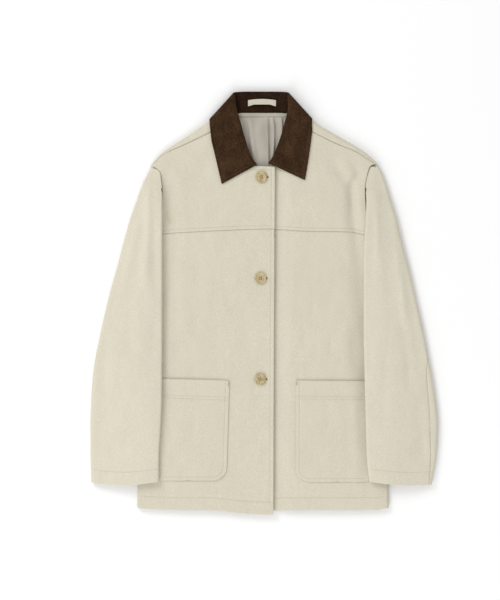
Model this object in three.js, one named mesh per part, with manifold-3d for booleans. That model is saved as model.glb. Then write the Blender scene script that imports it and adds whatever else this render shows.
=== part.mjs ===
// Chore jacket laid flat on its back, buttoned, sleeves brought down beside the body.
// Millimetres, +X to the viewer's right, +Y towards the collar, +Z up from the surface it lies on.
// Each piece of cloth is a thin wall around a middle surface: a function of two parameters,
// worked out from the outline, the fold radii and the order in which the layers lie.
import * as THREE from 'three';
import { mergeVertices } from 'three/addons/utils/BufferGeometryUtils.js';
import Module from 'manifold-3d';

// Cloth thicknesses and clearances
const CANVAS = 1.6;
const COLLAR = 2.0;
const LINING = 1.0;
const TAPE = 0.8;
const SEAM_GAP = 0.4;
const YOKE_GAP = 0.6;
const REST_GAP = 0.4;

// Radii of the folds, taken at the middle of the cloth
const BODY_ROLL = 4;
const SLEEVE_ROLL = 5;
const CREST_ROLL = 3;

// How the layers lie
const FLOOR_LEVEL = CANVAS / 2;
const LOFT = 3;
const LOFT_REACH = 60;
const COLLAR_LIFT = 2.7;
const COLLAR_REACH = 45;
const PLACKET_DIP = 3;
const SLEEVE_BULGE = 3;
const UNDERARM_Y = 65;
const SHOULDER_SLOPE = 0.84;
const UNDERARM_CURL = 12;
const MIN_TURN = 0.3;
const PLACKET_END_X = 21;
const DIP_REACH = 30;

// Placket and buttons
const UNDERLAP_X = -30;
const BUTTON_RADIUS = 10.2;
const BUTTON_DEPTH = 3.2;
const BUTTON_HOLE_RADIUS = 1.1;
const BUTTON_HOLE_OFFSET = 2.1;

// Reads rows of numbers under named columns
function table(columns, rows) {
  const names = columns.split(' ');
  return rows.map((row) => Object.fromEntries(names.map((name, i) => [name, row[i]])));
}

const clamp = (value, low, high) => Math.min(Math.max(value, low), high);
const lerp = (a, b, t) => a + (b - a) * t;

function ease(t) {
  const c = clamp(t, 0, 1);
  return c * c * (3 - 2 * c);
}

// Height of a quarter circle of radius 1 at the distance t in from its rim
const quarter = (t) => Math.sqrt(1 - (1 - clamp(t, 0, 1)) ** 2);

// Smooth curve through two columns of a table, without overshoot, level beyond its ends
function track(rows, by, key) {
  const sorted = [...rows].sort((a, b) => a[by] - b[by]);
  const xs = sorted.map((row) => row[by]);
  const ys = sorted.map((row) => row[key]);
  const last = xs.length - 1;
  const slopes = xs.slice(1).map((x, i) => (ys[i + 1] - ys[i]) / (x - xs[i]));
  const tangents = xs.map((_, i) => {
    if (i === 0) return slopes[0];
    if (i === last) return slopes[last - 1];
    const before = slopes[i - 1];
    const after = slopes[i];
    return before * after <= 0 ? 0 : (2 * before * after) / (before + after);
  });
  return (x) => {
    if (x <= xs[0]) return ys[0];
    if (x >= xs[last]) return ys[last];
    const i = xs.findIndex((limit) => limit > x) - 1;
    const span = xs[i + 1] - xs[i];
    const t = (x - xs[i]) / span;
    const rise = ys[i + 1] - ys[i];
    const bend = tangents[i] * span;
    const leave = tangents[i + 1] * span;
    return ys[i] + bend * t + (3 * rise - 2 * bend - leave) * t * t + (bend + leave - 2 * rise) * t * t * t;
  };
}

// Outline of the shoulders; the middle row only carries the slope across the open neck
const shoulderFold = table('x y', [
  [-198.2, 239.0], [-192.9, 246.8], [-182.4, 259.0], [-171.9, 267.8], [-140.4, 288.8],
  [-98.4, 316.2], [-74.0, 332.0], [-5.0, 376.0], [62.6, 332.0], [90.6, 314.5],
  [132.6, 290.5], [174.6, 265.5], [187.0, 255.0], [195.6, 246.8], [199.9, 239.8],
]);

// Seam between the back and the yokes, a little way down the front
const shoulderSeam = table('x y', [
  [-197.0, 240.2], [-189.4, 248.5], [-178.2, 259.2], [-138.7, 277.6], [-96.9, 297.0], [-72.0, 308.9],
  [60.5, 309.2], [85.3, 298.6], [127.8, 278.4], [161.8, 264.6], [187.2, 248.0], [198.2, 240.6],
]);

// Neck seam down each front, from the shoulder seam to the placket
const neckRight = table('x y', [
  [-72.0, 308.9], [-68.7, 297.5], [-58.2, 273.0], [-45.9, 259.0],
  [-33.7, 247.6], [-14.4, 239.8], [18.8, 238.8],
]);
const neckLeft = table('x y', [
  [-30.0, 236.0], [4.0, 236.5], [12.0, 240.0], [25.0, 247.6],
  [36.5, 259.0], [48.0, 273.0], [57.5, 297.5], [60.5, 309.2],
]);

// Armholes: where the sleeve seam crosses the front and the back
const armholeRight = table('y front back', [
  [240.2, -197.0, -197.6], [233.3, -187.2, -195.7], [227.0, -181.7, -193.5], [212.8, -180.0, -188.5],
  [201.2, -178.9, -186.5], [171.5, -180.2, -184.5], [121.1, -185.9, -187.5], [92.8, -192.9, -193.5],
  [64.8, -199.9, -199.9],
]);
const armholeLeft = table('y front back', [
  [240.8, 196.6, 198.4], [239.2, 188.5, 197.0], [233.8, 184.0, 195.0], [218.9, 179.8, 190.5],
  [202.0, 176.9, 186.5], [171.5, 178.0, 184.0], [121.1, 182.5, 185.5], [92.8, 189.5, 190.5],
  [64.8, 196.4, 196.4],
]);

// Body sides from the underarm to the hem
const SIDE_HEM_Y = -358.8;
const sides = table('y right left', [
  [64.8, -199.9, 196.4], [-47.2, -206.9, 202.6], [-169.8, -215.7, 211.3], [-274.8, -220.1, 215.7],
  [SIDE_HEM_Y, -222.7, 218.3],
]);

// Hem lines, the placket edge and the yoke seams, which meet the armholes at one height
const YOKE_CORNER_Y = 121;
const hemRight = table('x y', [
  [-222.7, SIDE_HEM_Y], [-192.9, -360.6], [-135.2, -362.2], [-98.4, -362.4], [-66.9, -364.2],
  [-45.9, -367.2], [-14.4, -369.4], [16.2, -370.5],
]);
const hemLeft = table('x y', [
  [-30.2, -363.7], [17.1, -363.8], [38.1, -362.4], [195.6, -362.2], [206.1, -360.5], [218.3, SIDE_HEM_Y],
]);
const placket = table('y x', [[240, 18.8], [75.2, 17.9], [-64.8, 17.1], [-239.8, 16.4], [-370.5, 16.0]]);
const yokeSeamRight = table('x y', [[-186, 121.1], [-176.3, 121.6], [-24.9, 128.8], [18.1, 129.8]]);
const yokeSeamLeft = table('x y', [
  [-30.2, 130.0], [19.7, 128.8], [70.4, 125.7], [149.0, 124.4], [175.4, 119.7], [182, 119],
]);

// Sleeves: a row for each section from the cap to the cuff. outerX, outerY and innerX, innerY are its two
// folds; turn is how far the cloth rolls under at the inner fold, rise the height of the upper layer over
// the front there, lift the height of the tucked layer, sag the bow of the section towards the cuff.
const sleeveRight = table('station outerX outerY innerX innerY turn rise lift sag', [
  [0, -198.9, 238.4, -187.2, 233.4, 0, 0.1, 2.0, 0], [1, -201.0, 231.9, -181.8, 226.8, 0, 0.5, 2.0, 0],
  [2, -205.2, 223.1, -180.6, 219.4, 0, 1.0, 2.0, 0], [3, -210.4, 213.5, -179.8, 211.0, 0, 1.8, 2.0, 0],
  [4, -215.2, 201.2, -178.6, 200.4, 0, 3.2, 2.0, 0], [5, -218.9, 192.0, -178.4, 191.4, 0.5, 4.8, 2.0, 0],
  [6, -222.7, 180.2, -178.4, 180.2, 1, 6.2, 2.0, 0], [7, -232.3, 154.0, -178.1, 154.0, 1, 7.4, 2.0, 0],
  [8, -242.8, 119.0, -178.1, 119.0, 1, 8.4, 2.0, 0], [9, -253.8, 76.5, -178.1, 76.5, 1, 8.6, 2.0, 0],
  [10, -256.2, 67.5, -178.1, 67.5, 1, 8.6, 2.0, 0], [11, -273.4, 5.2, -178.1, 5.2, 1, 8.6, 2.0, 0],
  [12, -289.2, -64.8, -178.1, -64.8, 1, 8.6, 2.0, 0], [13, -295.6, -97.0, -178.2, -97.0, 1, 8.8, 2.2, 0],
  [14, -299.8, -124.0, -178.5, -124.0, 1, 10.6, 4.3, 0],
  [15, -303.2, -169.8, -178.9, -169.8, 1, 10.6, 4.3, 0],
  [16, -304.5, -213.5, -180.7, -213.5, 1, 10.6, 4.3, 0],
  [17, -304.3, -266.0, -183.7, -266.0, 1, 10.4, 4.3, -1],
  [18, -302.8, -314.8, -184.2, -312.4, 1, 10.2, 4.3, -5],
]);
const sleeveLeft = table('station outerX outerY innerX innerY turn rise lift sag', [
  [0, 200.6, 238.4, 188.5, 238.4, 0, 0.1, 2.0, 0], [1, 204.7, 231.9, 184.4, 234.0, 0, 0.5, 2.0, 0],
  [2, 208.2, 223.1, 182.0, 225.4, 0, 1.0, 2.0, 0], [3, 211.8, 213.5, 179.4, 215.6, 0, 1.8, 2.0, 0],
  [4, 215.7, 201.2, 176.8, 202.0, 0, 3.2, 2.0, 0], [5, 218.9, 191.0, 177.6, 191.0, 0.5, 4.8, 2.0, 0],
  [6, 221.8, 180.2, 178.4, 180.2, 1, 6.2, 2.0, 0], [7, 229.7, 154.0, 177.8, 154.0, 1, 7.4, 2.0, 0],
  [8, 238.4, 119.0, 175.4, 119.0, 1, 8.4, 2.0, 0], [9, 249.4, 76.5, 173.8, 76.5, 1, 8.6, 2.0, 0],
  [10, 251.8, 67.5, 173.7, 67.5, 1, 8.6, 2.0, 0], [11, 266.2, 5.2, 173.7, 5.2, 1, 8.6, 2.0, 0],
  [12, 281.6, -64.8, 173.7, -64.8, 1, 8.6, 2.0, 0], [13, 287.8, -97.0, 174.6, -97.0, 1, 8.8, 2.2, 0],
  [14, 293.0, -124.0, 175.2, -124.0, 1, 10.6, 4.3, 0], [15, 300.4, -169.8, 176.3, -169.8, 1, 10.6, 4.3, 0],
  [16, 304.5, -213.5, 177.5, -213.5, 1, 10.6, 4.3, 0], [17, 302.0, -266.0, 178.9, -266.0, 1, 10.4, 4.3, -1],
  [18, 293.4, -318.6, 183.7, -312.4, 1, 10.2, 4.3, -3],
]);
const LAST_STATION = 18;
const CLIMB_START = 9;
const CLIMB_END = 10;
const BULGE_FULL_AT = 9;
const OUTER_ROLL_FULL_AT = 6;
const MIN_INNER_ROLL = 1.2;
const LEAST_RUN = 2;
const BULGE_POWER = 1.2;
const STEP_UP = { before: 14, length: 15 };

// Back seam of each sleeve: distance past the outer fold, positive on the upper layer
const backSeamRight = table('station reach', [[0, -8], [18, -8]]);
const backSeamLeft = table('station reach', [
  [0, -8], [7, -8], [9, -9], [11, -6], [12, 0.5], [13, 4.5],
  [14, 10.8], [15, 15], [16, 16.5], [17, 12.5], [18, 7],
]);

// Front seam of each sleeve below the underarm
const frontSeam = table('y right left', [[64.8, -199.9, 196.4], [-320, -202.6, 203.0]]);

// Collar: a row for each line across it, from the front end to the middle of the back.
// The roll is the crest between leaf and stand, the edge is the leaf's outer edge,
// the seam is the neck seam; over is 1 on the front of the jacket and 0 behind the neck.
const collarColumns = 'rollX rollY edgeX edgeY seamX seamY over';
const collarRight = table(collarColumns, [
  [-12.7, 241.4, -74.3, 207.9, -15.6, 240.8, 1], [-21.8, 253.2, -78.6, 226.0, -34.4, 247.8, 1],
  [-33.2, 284.5, -87.0, 262.0, -55.5, 271.0, 1], [-41.6, 314.0, -92.4, 285.0, -69.8, 303.5, 1],
  [-49.4, 343.0, -94.2, 301.0, -73.4, 319.0, 1],
]);
const collarBackRight = table(collarColumns, [
  [-30.0, 369.4, -50.0, 311.0, -38.0, 333.6, 0], [-4.8, 369.4, -5.0, 309.5, -4.8, 333.4, 0],
]);
const collarBackLeft = table(collarColumns, [[20.0, 369.4, 40.0, 311.0, 28.0, 333.6, 0]]);
const collarLeft = table(collarColumns, [
  [42.0, 343.0, 83.8, 301.0, 62.0, 319.0, 1], [35.0, 310.0, 82.0, 285.0, 58.6, 303.5, 1],
  [26.4, 282.0, 79.0, 262.0, 45.6, 271.0, 1], [13.4, 252.0, 74.2, 232.0, 25.6, 248.8, 1],
  [7.1, 244.5, 71.2, 214.7, 9.8, 241.8, 1],
]);

// Ridge line of the collar where it turns over each shoulder. TURN_IN is the way in from there: its x
// towards the middle, its y down. The leaf and the crest slide in by their own radii, the leaf a little
// further on the front and behind, and the slack is what stays of the slide along the other axis.
const collarTurnRight = table(collarColumns, [[-53.8, 368.4, -95.8, 320.8, -73.2, 331.2, 0]])[0];
const collarTurnLeft = table(collarColumns, [[43.0, 368.4, 84.0, 321.8, 62.0, 331.2, 0]])[0];
const COLLAR_TURN_STEPS = 4;
const COLLAR_TURN = { leaf: 6.2, crest: 2.5, onFront: 1.46, behind: 1.26, drop: 3, slack: 0.05 };
const TURN_IN = { x: 0.76, y: 0.65 };

// Pockets: inner edge, top edge and bottom edge; the outer edge lies under the sleeve
const POCKET_CORNER = 24;
const CORNER_CROWD = 1.6;
const TOP_TURN = 0.2;
const pockets = {
  pocket_right: { outer: -202, inner: -60.6, innerLow: -66, top: -132.0, topInner: -137.0, bottom: -310.8 },
  pocket_left: { outer: 198, inner: 55.0, innerLow: 55.0, top: -136.5, topInner: -134.5, bottom: -313.0 },
};

// Lining, tape and hanger loop inside the back of the neck
const LINING_BOX = { left: -52, right: 42, low: 205, high: 331.4 };
const TAPE_RISE = 0.5;
const TAPE_BOX = { left: -52, right: 42, low: 326.4, high: 332.2 };
const LOOP = { left: -28.4, right: 20.6, middle: 350, half: 5, bow: 1.8, stand: 2.2 };
const liningFolds = table('x lean width height', [
  [-33, 0.05, 9, 2.2], [-14, -0.1, 7, 1.6], [2, 0.03, 6, 3.2], [17, 0.12, 8, 1.8], [34, 0.1, 9, 2.0],
]);
const PLEAT_FADE = 22;

// Smooth functions of the tables
const foldOutlineY = track(shoulderFold, 'x', 'y');
const shoulderSeamY = track(shoulderSeam, 'x', 'y');
const sideRight = track(sides, 'y', 'right');
const sideLeft = track(sides, 'y', 'left');
const placketX = track(placket, 'y', 'x');
const foldY = (x) => foldOutlineY(x) - CANVAS / 2 / SHOULDER_SLOPE;

// Nearness to the part of the collar that lies under the back of the neck
const UNDER_LEAF = { left: -97, right: 85, low: 299 };
function collarNear(x, y) {
  const across = Math.max(0, UNDER_LEAF.left - x, x - UNDER_LEAF.right);
  const down = Math.max(0, UNDER_LEAF.low - y);
  return 1 - ease(Math.hypot(across, down) / COLLAR_REACH);
}

// Distance in from the folded edges of the body
function edgeDistance(x, y) {
  const above = Math.max(0, y - UNDERARM_Y);
  const level = Math.min(y, UNDERARM_Y);
  const fromRight = Math.max(0, x - sideRight(level) - CANVAS / 2);
  const fromLeft = Math.max(0, sideLeft(level) - CANVAS / 2 - x);
  const fromFold = (foldY(x) - y) * SHOULDER_SLOPE;
  return Math.max(0, Math.min(Math.hypot(fromRight, above), Math.hypot(fromLeft, above), fromFold));
}

// Middle height of the fronts and yokes at a distance in from the folded edges
function levelAt(x, y, distance) {
  const round = BODY_ROLL * (1 + quarter(distance / BODY_ROLL));
  const loft = LOFT * (1 - Math.exp(-distance / LOFT_REACH));
  return FLOOR_LEVEL + round + loft + COLLAR_LIFT * collarNear(x, y);
}
const frontLevel = (x, y) => levelAt(x, y, edgeDistance(x, y));
const shelfLevel = (x, y) => levelAt(x, y, Math.max(BODY_ROLL, edgeDistance(x, y)));
const backLevel = (x, y) => FLOOR_LEVEL + COLLAR_LIFT * collarNear(x, y);

// The left front dips under the placket of the right front
const dip = (x) => PLACKET_DIP * (1 - ease((x - PLACKET_END_X) / DIP_REACH));

// Evenly spaced stops between knots: counts[i] steps from knots[i] to knots[i + 1]
function stops(knots, counts) {
  const list = [knots[0]];
  counts.forEach((count, i) => {
    for (let k = 1; k <= count; k += 1) list.push(lerp(knots[i], knots[i + 1], k / count));
  });
  return list;
}

// Closed wall of a given thickness around the middle surface point(u, v)
function wall(point, us, vs, thickness, keeps = () => true) {
  const tiny = 1e-4;
  const along = new THREE.Vector3();
  const across = new THREE.Vector3();
  const positions = [];
  for (const side of [1, -1]) {
    for (const v of vs) {
      for (const u of us) {
        const uLow = Math.max(u - tiny, us[0]);
        const uHigh = Math.min(u + tiny, us[us.length - 1]);
        const vLow = Math.max(v - tiny, vs[0]);
        const vHigh = Math.min(v + tiny, vs[vs.length - 1]);
        along.copy(point(uHigh, v)).sub(point(uLow, v)).normalize();
        across.copy(point(u, vHigh)).sub(point(u, vLow)).normalize();
        const normal = new THREE.Vector3().crossVectors(along, across).normalize();
        const p = point(u, v).addScaledVector(normal, (side * thickness) / 2);
        positions.push(p.x, p.y, p.z);
      }
    }
  }
  const columns = us.length;
  const cellsAcross = columns - 1;
  const cellsDown = vs.length - 1;
  const layer = columns * vs.length;
  const kept = (i, j) => i >= 0 && j >= 0 && i < cellsAcross && j < cellsDown && keeps(i, j);
  const faces = [];
  const quad = (a, b, c, d) => faces.push(a, b, c, a, c, d);
  for (let j = 0; j < cellsDown; j += 1) {
    for (let i = 0; i < cellsAcross; i += 1) {
      if (!kept(i, j)) continue;
      const a = j * columns + i;
      const b = a + 1;
      const c = b + columns;
      const d = a + columns;
      quad(a, b, c, d);
      quad(layer + a, layer + d, layer + c, layer + b);
      if (!kept(i, j - 1)) quad(a, layer + a, layer + b, b);
      if (!kept(i + 1, j)) quad(b, layer + b, layer + c, c);
      if (!kept(i, j + 1)) quad(c, layer + c, layer + d, d);
      if (!kept(i - 1, j)) quad(d, layer + d, layer + a, a);
    }
  }
  const geometry = new THREE.BufferGeometry();
  geometry.setAttribute('position', new THREE.Float32BufferAttribute(positions, 3));
  geometry.setIndex(faces);
  return outward(mergeVertices(geometry.toNonIndexed(), 1e-4));
}

// Turns the faces round where the middle surface ran the other way
function outward(geometry) {
  const p = geometry.attributes.position;
  const index = geometry.index.array;
  const a = new THREE.Vector3();
  const b = new THREE.Vector3();
  const c = new THREE.Vector3();
  let volume = 0;
  for (let i = 0; i < index.length; i += 3) {
    a.fromBufferAttribute(p, index[i]);
    b.fromBufferAttribute(p, index[i + 1]);
    c.fromBufferAttribute(p, index[i + 2]);
    volume += a.dot(b.cross(c));
  }
  if (volume < 0) {
    for (let i = 0; i < index.length; i += 3) [index[i], index[i + 1]] = [index[i + 1], index[i]];
  }
  geometry.computeVertexNormals();
  return geometry;
}

// Distance in from a folded side: u below 0 runs round the fold, u from 0 to 1 across the panel
const SIDE_END = -1 + SEAM_GAP / ((BODY_ROLL * Math.PI) / 2);
function fromSide(u, width) {
  if (u < 0) return BODY_ROLL * (1 - Math.sin((-u * Math.PI) / 2));
  return lerp(BODY_ROLL, width, u);
}

// Yoke: u from the armhole to the front edge, v from the yoke seam to the shoulder and neck
function yoke({ armhole, sign, edge, seam, neck, drop }) {
  const front = track(armhole, 'y', 'front');
  const seamY = track(seam, 'x', 'y');
  const neckY = track(neck, 'x', 'y');
  const neckEnd = sign < 0 ? neck[0].x : neck[neck.length - 1].x;
  const tip = armhole[0].y - SEAM_GAP;
  const topY = (x) => {
    const shoulder = (x - neckEnd) * sign > 0;
    return shoulder ? Math.min(shoulderSeamY(x), foldY(x)) - SEAM_GAP : neckY(x);
  };
  const start = seamY(front(YOKE_CORNER_Y)) + YOKE_GAP / 2;
  const across = (u, v) => {
    const level = lerp(start, tip, v);
    const outer = front(level) - sign * SEAM_GAP;
    const inner = edge(level);
    const corner = lerp(neckEnd, lerp(outer, inner, 0.5), 0.5 * (1 - v));
    return u < 1 ? lerp(outer, corner, u) : lerp(corner, inner, u - 1);
  };
  return (u, v) => {
    const x = across(u, v);
    const y = lerp(seamY(across(u, 0)) + YOKE_GAP / 2, topY(across(u, 1)), v);
    return new THREE.Vector3(x, y, frontLevel(x, y) - drop(x));
  };
}

// Front panel: u from the side seam to the front edge, v from the yoke seam to the hem
function front({ armhole, side, sign, edge, seam, hem, drop }) {
  const armholeX = track(armhole, 'y', 'front');
  const seamY = track(seam, 'x', 'y');
  const hemY = track(hem, 'x', 'y');
  const start = seamY(armholeX(YOKE_CORNER_Y)) - YOKE_GAP / 2;
  const end = hemY(side(SIDE_HEM_Y));
  const across = (u, v) => {
    const level = lerp(start, end, v);
    const atSide = side(level) - (sign * CANVAS) / 2;
    const outer = level > UNDERARM_Y ? armholeX(level) - sign * SEAM_GAP : atSide;
    return outer - sign * fromSide(u, Math.abs(edge(level) - outer));
  };
  return (u, v) => {
    const x = across(u, v);
    const y = lerp(seamY(across(u, 0)) - YOKE_GAP / 2, hemY(across(u, 1)), v);
    return new THREE.Vector3(x, y, frontLevel(x, y) - drop(x));
  };
}

// Back panel: u round the right side fold (-1 to 0), across (0 to 3), round the left one (3 to 4);
// v from the hem to the top (0 to 1), and over the shoulder fold to the shoulder seam (1 to 2)
const NECK_RIGHT_X = -74;
const NECK_LEFT_X = 62.6;
const NECK_SEAM_Y = 333;
const NECK_RISE = 34;
const BACK_CREST_Y = 370;
const BACK_HEM_Y = -357.5;
const ROLL_DEPTH = BODY_ROLL / SHOULDER_SLOPE;
function backTopY(x) {
  const inNeck = Math.min(x - NECK_RIGHT_X, NECK_LEFT_X - x);
  if (inNeck < 0) return foldY(x) - ROLL_DEPTH;
  return lerp(foldY(NECK_RIGHT_X) - ROLL_DEPTH, NECK_SEAM_Y, ease(inNeck / NECK_RISE));
}
function backPanel() {
  const armRight = track(armholeRight, 'y', 'back');
  const armLeft = track(armholeLeft, 'y', 'back');
  const edges = (level) => (level > UNDERARM_Y
    ? { right: armRight(level) + 3 * SEAM_GAP, left: armLeft(level) - 3 * SEAM_GAP }
    : { right: sideRight(level) + CANVAS / 2, left: sideLeft(level) - CANVAS / 2 });
  const overShoulder = (x, t) => {
    const fold = foldY(x);
    const depth = Math.max(fold - shoulderSeamY(x) - SEAM_GAP / 2, MIN_TURN);
    const rolled = Math.PI - Math.asin(clamp(1 - depth / ROLL_DEPTH, 0, 1));
    const strip = Math.max(depth - ROLL_DEPTH, 0);
    const angle = Math.min(t * 2, 1) * rolled;
    const ahead = clamp(t * 2 - 1, 0, 1) * strip;
    const y = fold - ROLL_DEPTH * (1 - Math.sin(angle)) - ahead;
    const high = ahead > 0 ? frontLevel(x, y) : shelfLevel(x, fold - ROLL_DEPTH);
    const low = backLevel(x, fold - ROLL_DEPTH);
    return new THREE.Vector3(x, y, lerp(low, high, (1 - Math.cos(angle)) / 2));
  };
  const across = (u, v) => {
    const tips = [armholeRight[0].back, armholeLeft[0].back].map(foldY);
    const tipY = lerp(tips[0], tips[1], clamp(u / 3, 0, 1)) - ROLL_DEPTH;
    const { right, left } = edges(lerp(BACK_HEM_Y, tipY, v));
    if (u < 0) return right + fromSide(u, 0);
    if (u > 3) return left - fromSide(3 - u, 0);
    if (u < 1) return lerp(right + BODY_ROLL, NECK_RIGHT_X, u);
    if (u < 2) return lerp(NECK_RIGHT_X, NECK_LEFT_X, u - 1);
    return lerp(NECK_LEFT_X, left - BODY_ROLL, u - 2);
  };
  return (u, v) => {
    const x = across(u, Math.min(v, 1));
    if (v > 1) return overShoulder(x, v - 1);
    const y = lerp(BACK_HEM_Y, backTopY(across(u, 1)), v);
    const past = Math.max(-u, u - 3, 0);
    const lifted = BODY_ROLL * (1 - Math.cos((past * Math.PI) / 2));
    const curl = 1 - ease((y - UNDERARM_Y) / UNDERARM_CURL);
    return new THREE.Vector3(x, y, backLevel(x, y) + lifted * curl);
  };
}

// Section of a sleeve as a chain of points with its running length: in along the layer beneath, round the
// outer fold, back over the upper layer, round the inner fold and out again to the front seam.
function sleeveRing(sleeve, station) {
  const row = Object.fromEntries(Object.entries(sleeve.columns).map(([key, read]) => [key, read(station)]));
  const inward = -sleeve.sign;
  const outerX = row.outerX + (inward * CANVAS) / 2;
  const folded = row.turn > 0;
  const reachX = folded ? row.innerX - (inward * CANVAS) / 2 : sleeve.front(row.innerY) - inward * SEAM_GAP;
  const width = Math.abs(reachX - outerX);
  const climb = ease((station - CLIMB_START) / (CLIMB_END - CLIMB_START));
  const place = (a, z) => {
    const t = clamp(a / width, 0, 1);
    const y = lerp(row.outerY, row.innerY, t) + row.sag * Math.sin(Math.PI * t);
    return new THREE.Vector3(outerX + inward * a, y, z);
  };
  const levelHere = (a) => {
    const p = place(a, 0);
    return shelfLevel(p.x, p.y);
  };
  const sideDistance = Math.abs(sleeve.side(row.innerY) - outerX);
  const beneath = (a) => {
    const onBody = climb * ease((a - sideDistance + STEP_UP.before) / STEP_UP.length);
    return lerp(FLOOR_LEVEL, levelHere(a) + row.lift, onBody);
  };
  const roundOuter = lerp(BODY_ROLL, SLEEVE_ROLL, ease(station / OUTER_ROLL_FULL_AT));
  const roundInner = Math.max((row.rise - row.lift) / 2, MIN_INNER_ROLL);
  const seamY = row.innerY;
  const seamX = station < CLIMB_END ? sleeve.front(seamY) : sleeve.frontSeam(seamY);
  const underX = lerp(sleeve.back(seamY), sleeve.frontSeam(seamY), climb);
  const underEnd = Math.abs(underX - outerX) - (1 - climb / 2) * SEAM_GAP;
  const tuckEnd = Math.abs(seamX - outerX) + SEAM_GAP / 2;

  const points = [];
  const marks = {};
  const run = (name, count, make) => {
    for (let i = 0; i <= count; i += 1) points.push(make(i / count));
    marks[name] = points.length - 1;
  };
  run('floor', 40, (t) => {
    const a = lerp(underEnd, roundOuter, t);
    return place(a, beneath(a));
  });
  run('apex', 8, (t) => {
    const angle = (t * Math.PI) / 2;
    return place(roundOuter * (1 - Math.sin(angle)), FLOOR_LEVEL + roundOuter * (1 - Math.cos(angle)));
  });
  run('outer', 8, (t) => {
    const angle = ((1 + t) * Math.PI) / 2;
    return place(roundOuter * (1 - Math.sin(angle)), FLOOR_LEVEL + roundOuter * (1 - Math.cos(angle)));
  });
  const topEnd = folded ? width - roundInner : width;
  const tuckLevel = levelHere(topEnd) + row.lift;
  const innerHeight = folded ? tuckLevel + 2 * roundInner : levelHere(topEnd) + row.rise;
  const bulge = SLEEVE_BULGE * ease(station / BULGE_FULL_AT);
  run('top', 40, (t) => {
    const a = lerp(roundOuter, topEnd, t);
    const base = lerp(FLOOR_LEVEL + 2 * roundOuter, innerHeight, ease(t));
    return place(a, base + bulge * Math.sin(Math.PI * t) ** BULGE_POWER);
  });
  if (folded) {
    run('inner', 12, (t) => {
      const angle = t * Math.PI * row.turn;
      return place(topEnd + roundInner * Math.sin(angle), tuckLevel + roundInner * (1 + Math.cos(angle)));
    });
    if (row.turn > 0.99 && tuckEnd < topEnd) {
      run('tuck', 12, (t) => {
        const a = lerp(topEnd, tuckEnd, t);
        return place(a, levelHere(a) + row.lift);
      });
    }
  }
  const lengths = [0];
  points.slice(1).forEach((point, i) => lengths.push(lengths[i] + point.distanceTo(points[i])));
  const total = lengths[points.length - 1];
  return {
    total,
    floor: lengths[marks.floor],
    apex: lengths[marks.apex],
    outer: lengths[marks.outer],
    top: Math.min(lengths[marks.top], total - 2 * LEAST_RUN),
    inner: Math.min(marks.inner === undefined ? total : lengths[marks.inner], total - LEAST_RUN),
    at(length) {
      const s = clamp(length, 0, total);
      let i = lengths.findIndex((limit) => limit > s) - 1;
      if (i < 0) i = points.length - 2;
      const span = lengths[i + 1] - lengths[i];
      return points[i].clone().lerp(points[i + 1], span > 0 ? (s - lengths[i]) / span : 0);
    },
  };
}

function makeSleeve(sign, rows, armhole, side, backSeam) {
  const keys = Object.keys(rows[0]).filter((key) => key !== 'station');
  const columns = Object.fromEntries(keys.map((key) => [key, track(rows, 'station', key)]));
  const front = track(armhole, 'y', 'front');
  const back = track(armhole, 'y', 'back');
  const seam = track(frontSeam, 'y', sign < 0 ? 'right' : 'left');
  const reach = track(backSeam, 'station', 'reach');
  const sleeve = { sign, columns, front, back, side, frontSeam: seam };
  const cache = new Map();
  const ring = (station) => {
    if (!cache.has(station)) cache.set(station, sleeveRing(sleeve, station));
    return cache.get(station);
  };
  // Upper piece: u 0 to 4 runs from the back seam by way of both folds to the armhole or front seam
  const top = (u, station) => {
    const r = ring(station);
    const from = r.apex + reach(station) + SEAM_GAP / 2;
    const knots = [from, Math.max(r.outer, from + LEAST_RUN), r.top, r.inner, r.total];
    const i = Math.min(Math.floor(u), 3);
    return r.at(lerp(knots[i], knots[i + 1], u - i));
  };
  // Under piece: u 0 to 3 runs from the front seam or armhole along the layer beneath to the back seam
  const under = (u, station) => {
    const r = ring(station);
    const to = r.apex + reach(station) - SEAM_GAP / 2;
    const middle = Math.min(r.floor * 0.55, to - 6 * LEAST_RUN);
    const knots = [0, middle, Math.min(r.floor, to - 3 * LEAST_RUN), to];
    const i = Math.min(Math.floor(u), 2);
    return r.at(lerp(knots[i], knots[i + 1], u - i));
  };
  return { top, under };
}

// Collar lines from the right front end round the back of the neck to the left front end
function collarLines() {
  const turn = (line, upward) => {
    const inward = -Math.sign(line.rollX);
    const list = [];
    for (let k = 0; k <= COLLAR_TURN_STEPS; k += 1) {
      const angle = (Math.PI * (upward ? k : COLLAR_TURN_STEPS - k)) / COLLAR_TURN_STEPS;
      const inset = 1 - Math.sin(angle);
      const over = (1 - Math.cos(angle)) / 2;
      const onFront = angle > Math.PI / 2;
      const slide = COLLAR_TURN.leaf * inset * (onFront ? COLLAR_TURN.onFront : COLLAR_TURN.behind);
      list.push({
        rollX: line.rollX + inward * TURN_IN.x * COLLAR_TURN.crest * inset,
        rollY: line.rollY - over * (COLLAR_TURN.drop + TURN_IN.y * COLLAR_TURN.crest * inset),
        edgeX: line.edgeX + inward * slide * (onFront ? COLLAR_TURN.slack : 1),
        edgeY: line.edgeY - slide * (onFront ? 1 : COLLAR_TURN.slack),
        seamX: line.seamX,
        seamY: line.seamY - ROLL_DEPTH * inset,
        over,
      });
    }
    return list;
  };
  return [
    ...collarRight, ...turn(collarTurnRight, false), ...collarBackRight,
    ...collarBackLeft, ...turn(collarTurnLeft, true), ...collarLeft,
  ].map((line, station) => ({ ...line, station }));
}
const collarRows = collarLines();
const COLLAR_LAST = collarRows.length - 1;
const collarKeys = collarColumns.split(' ');
const collarAt = Object.fromEntries(collarKeys.map((key) => [key, track(collarRows, 'station', key)]));

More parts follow.
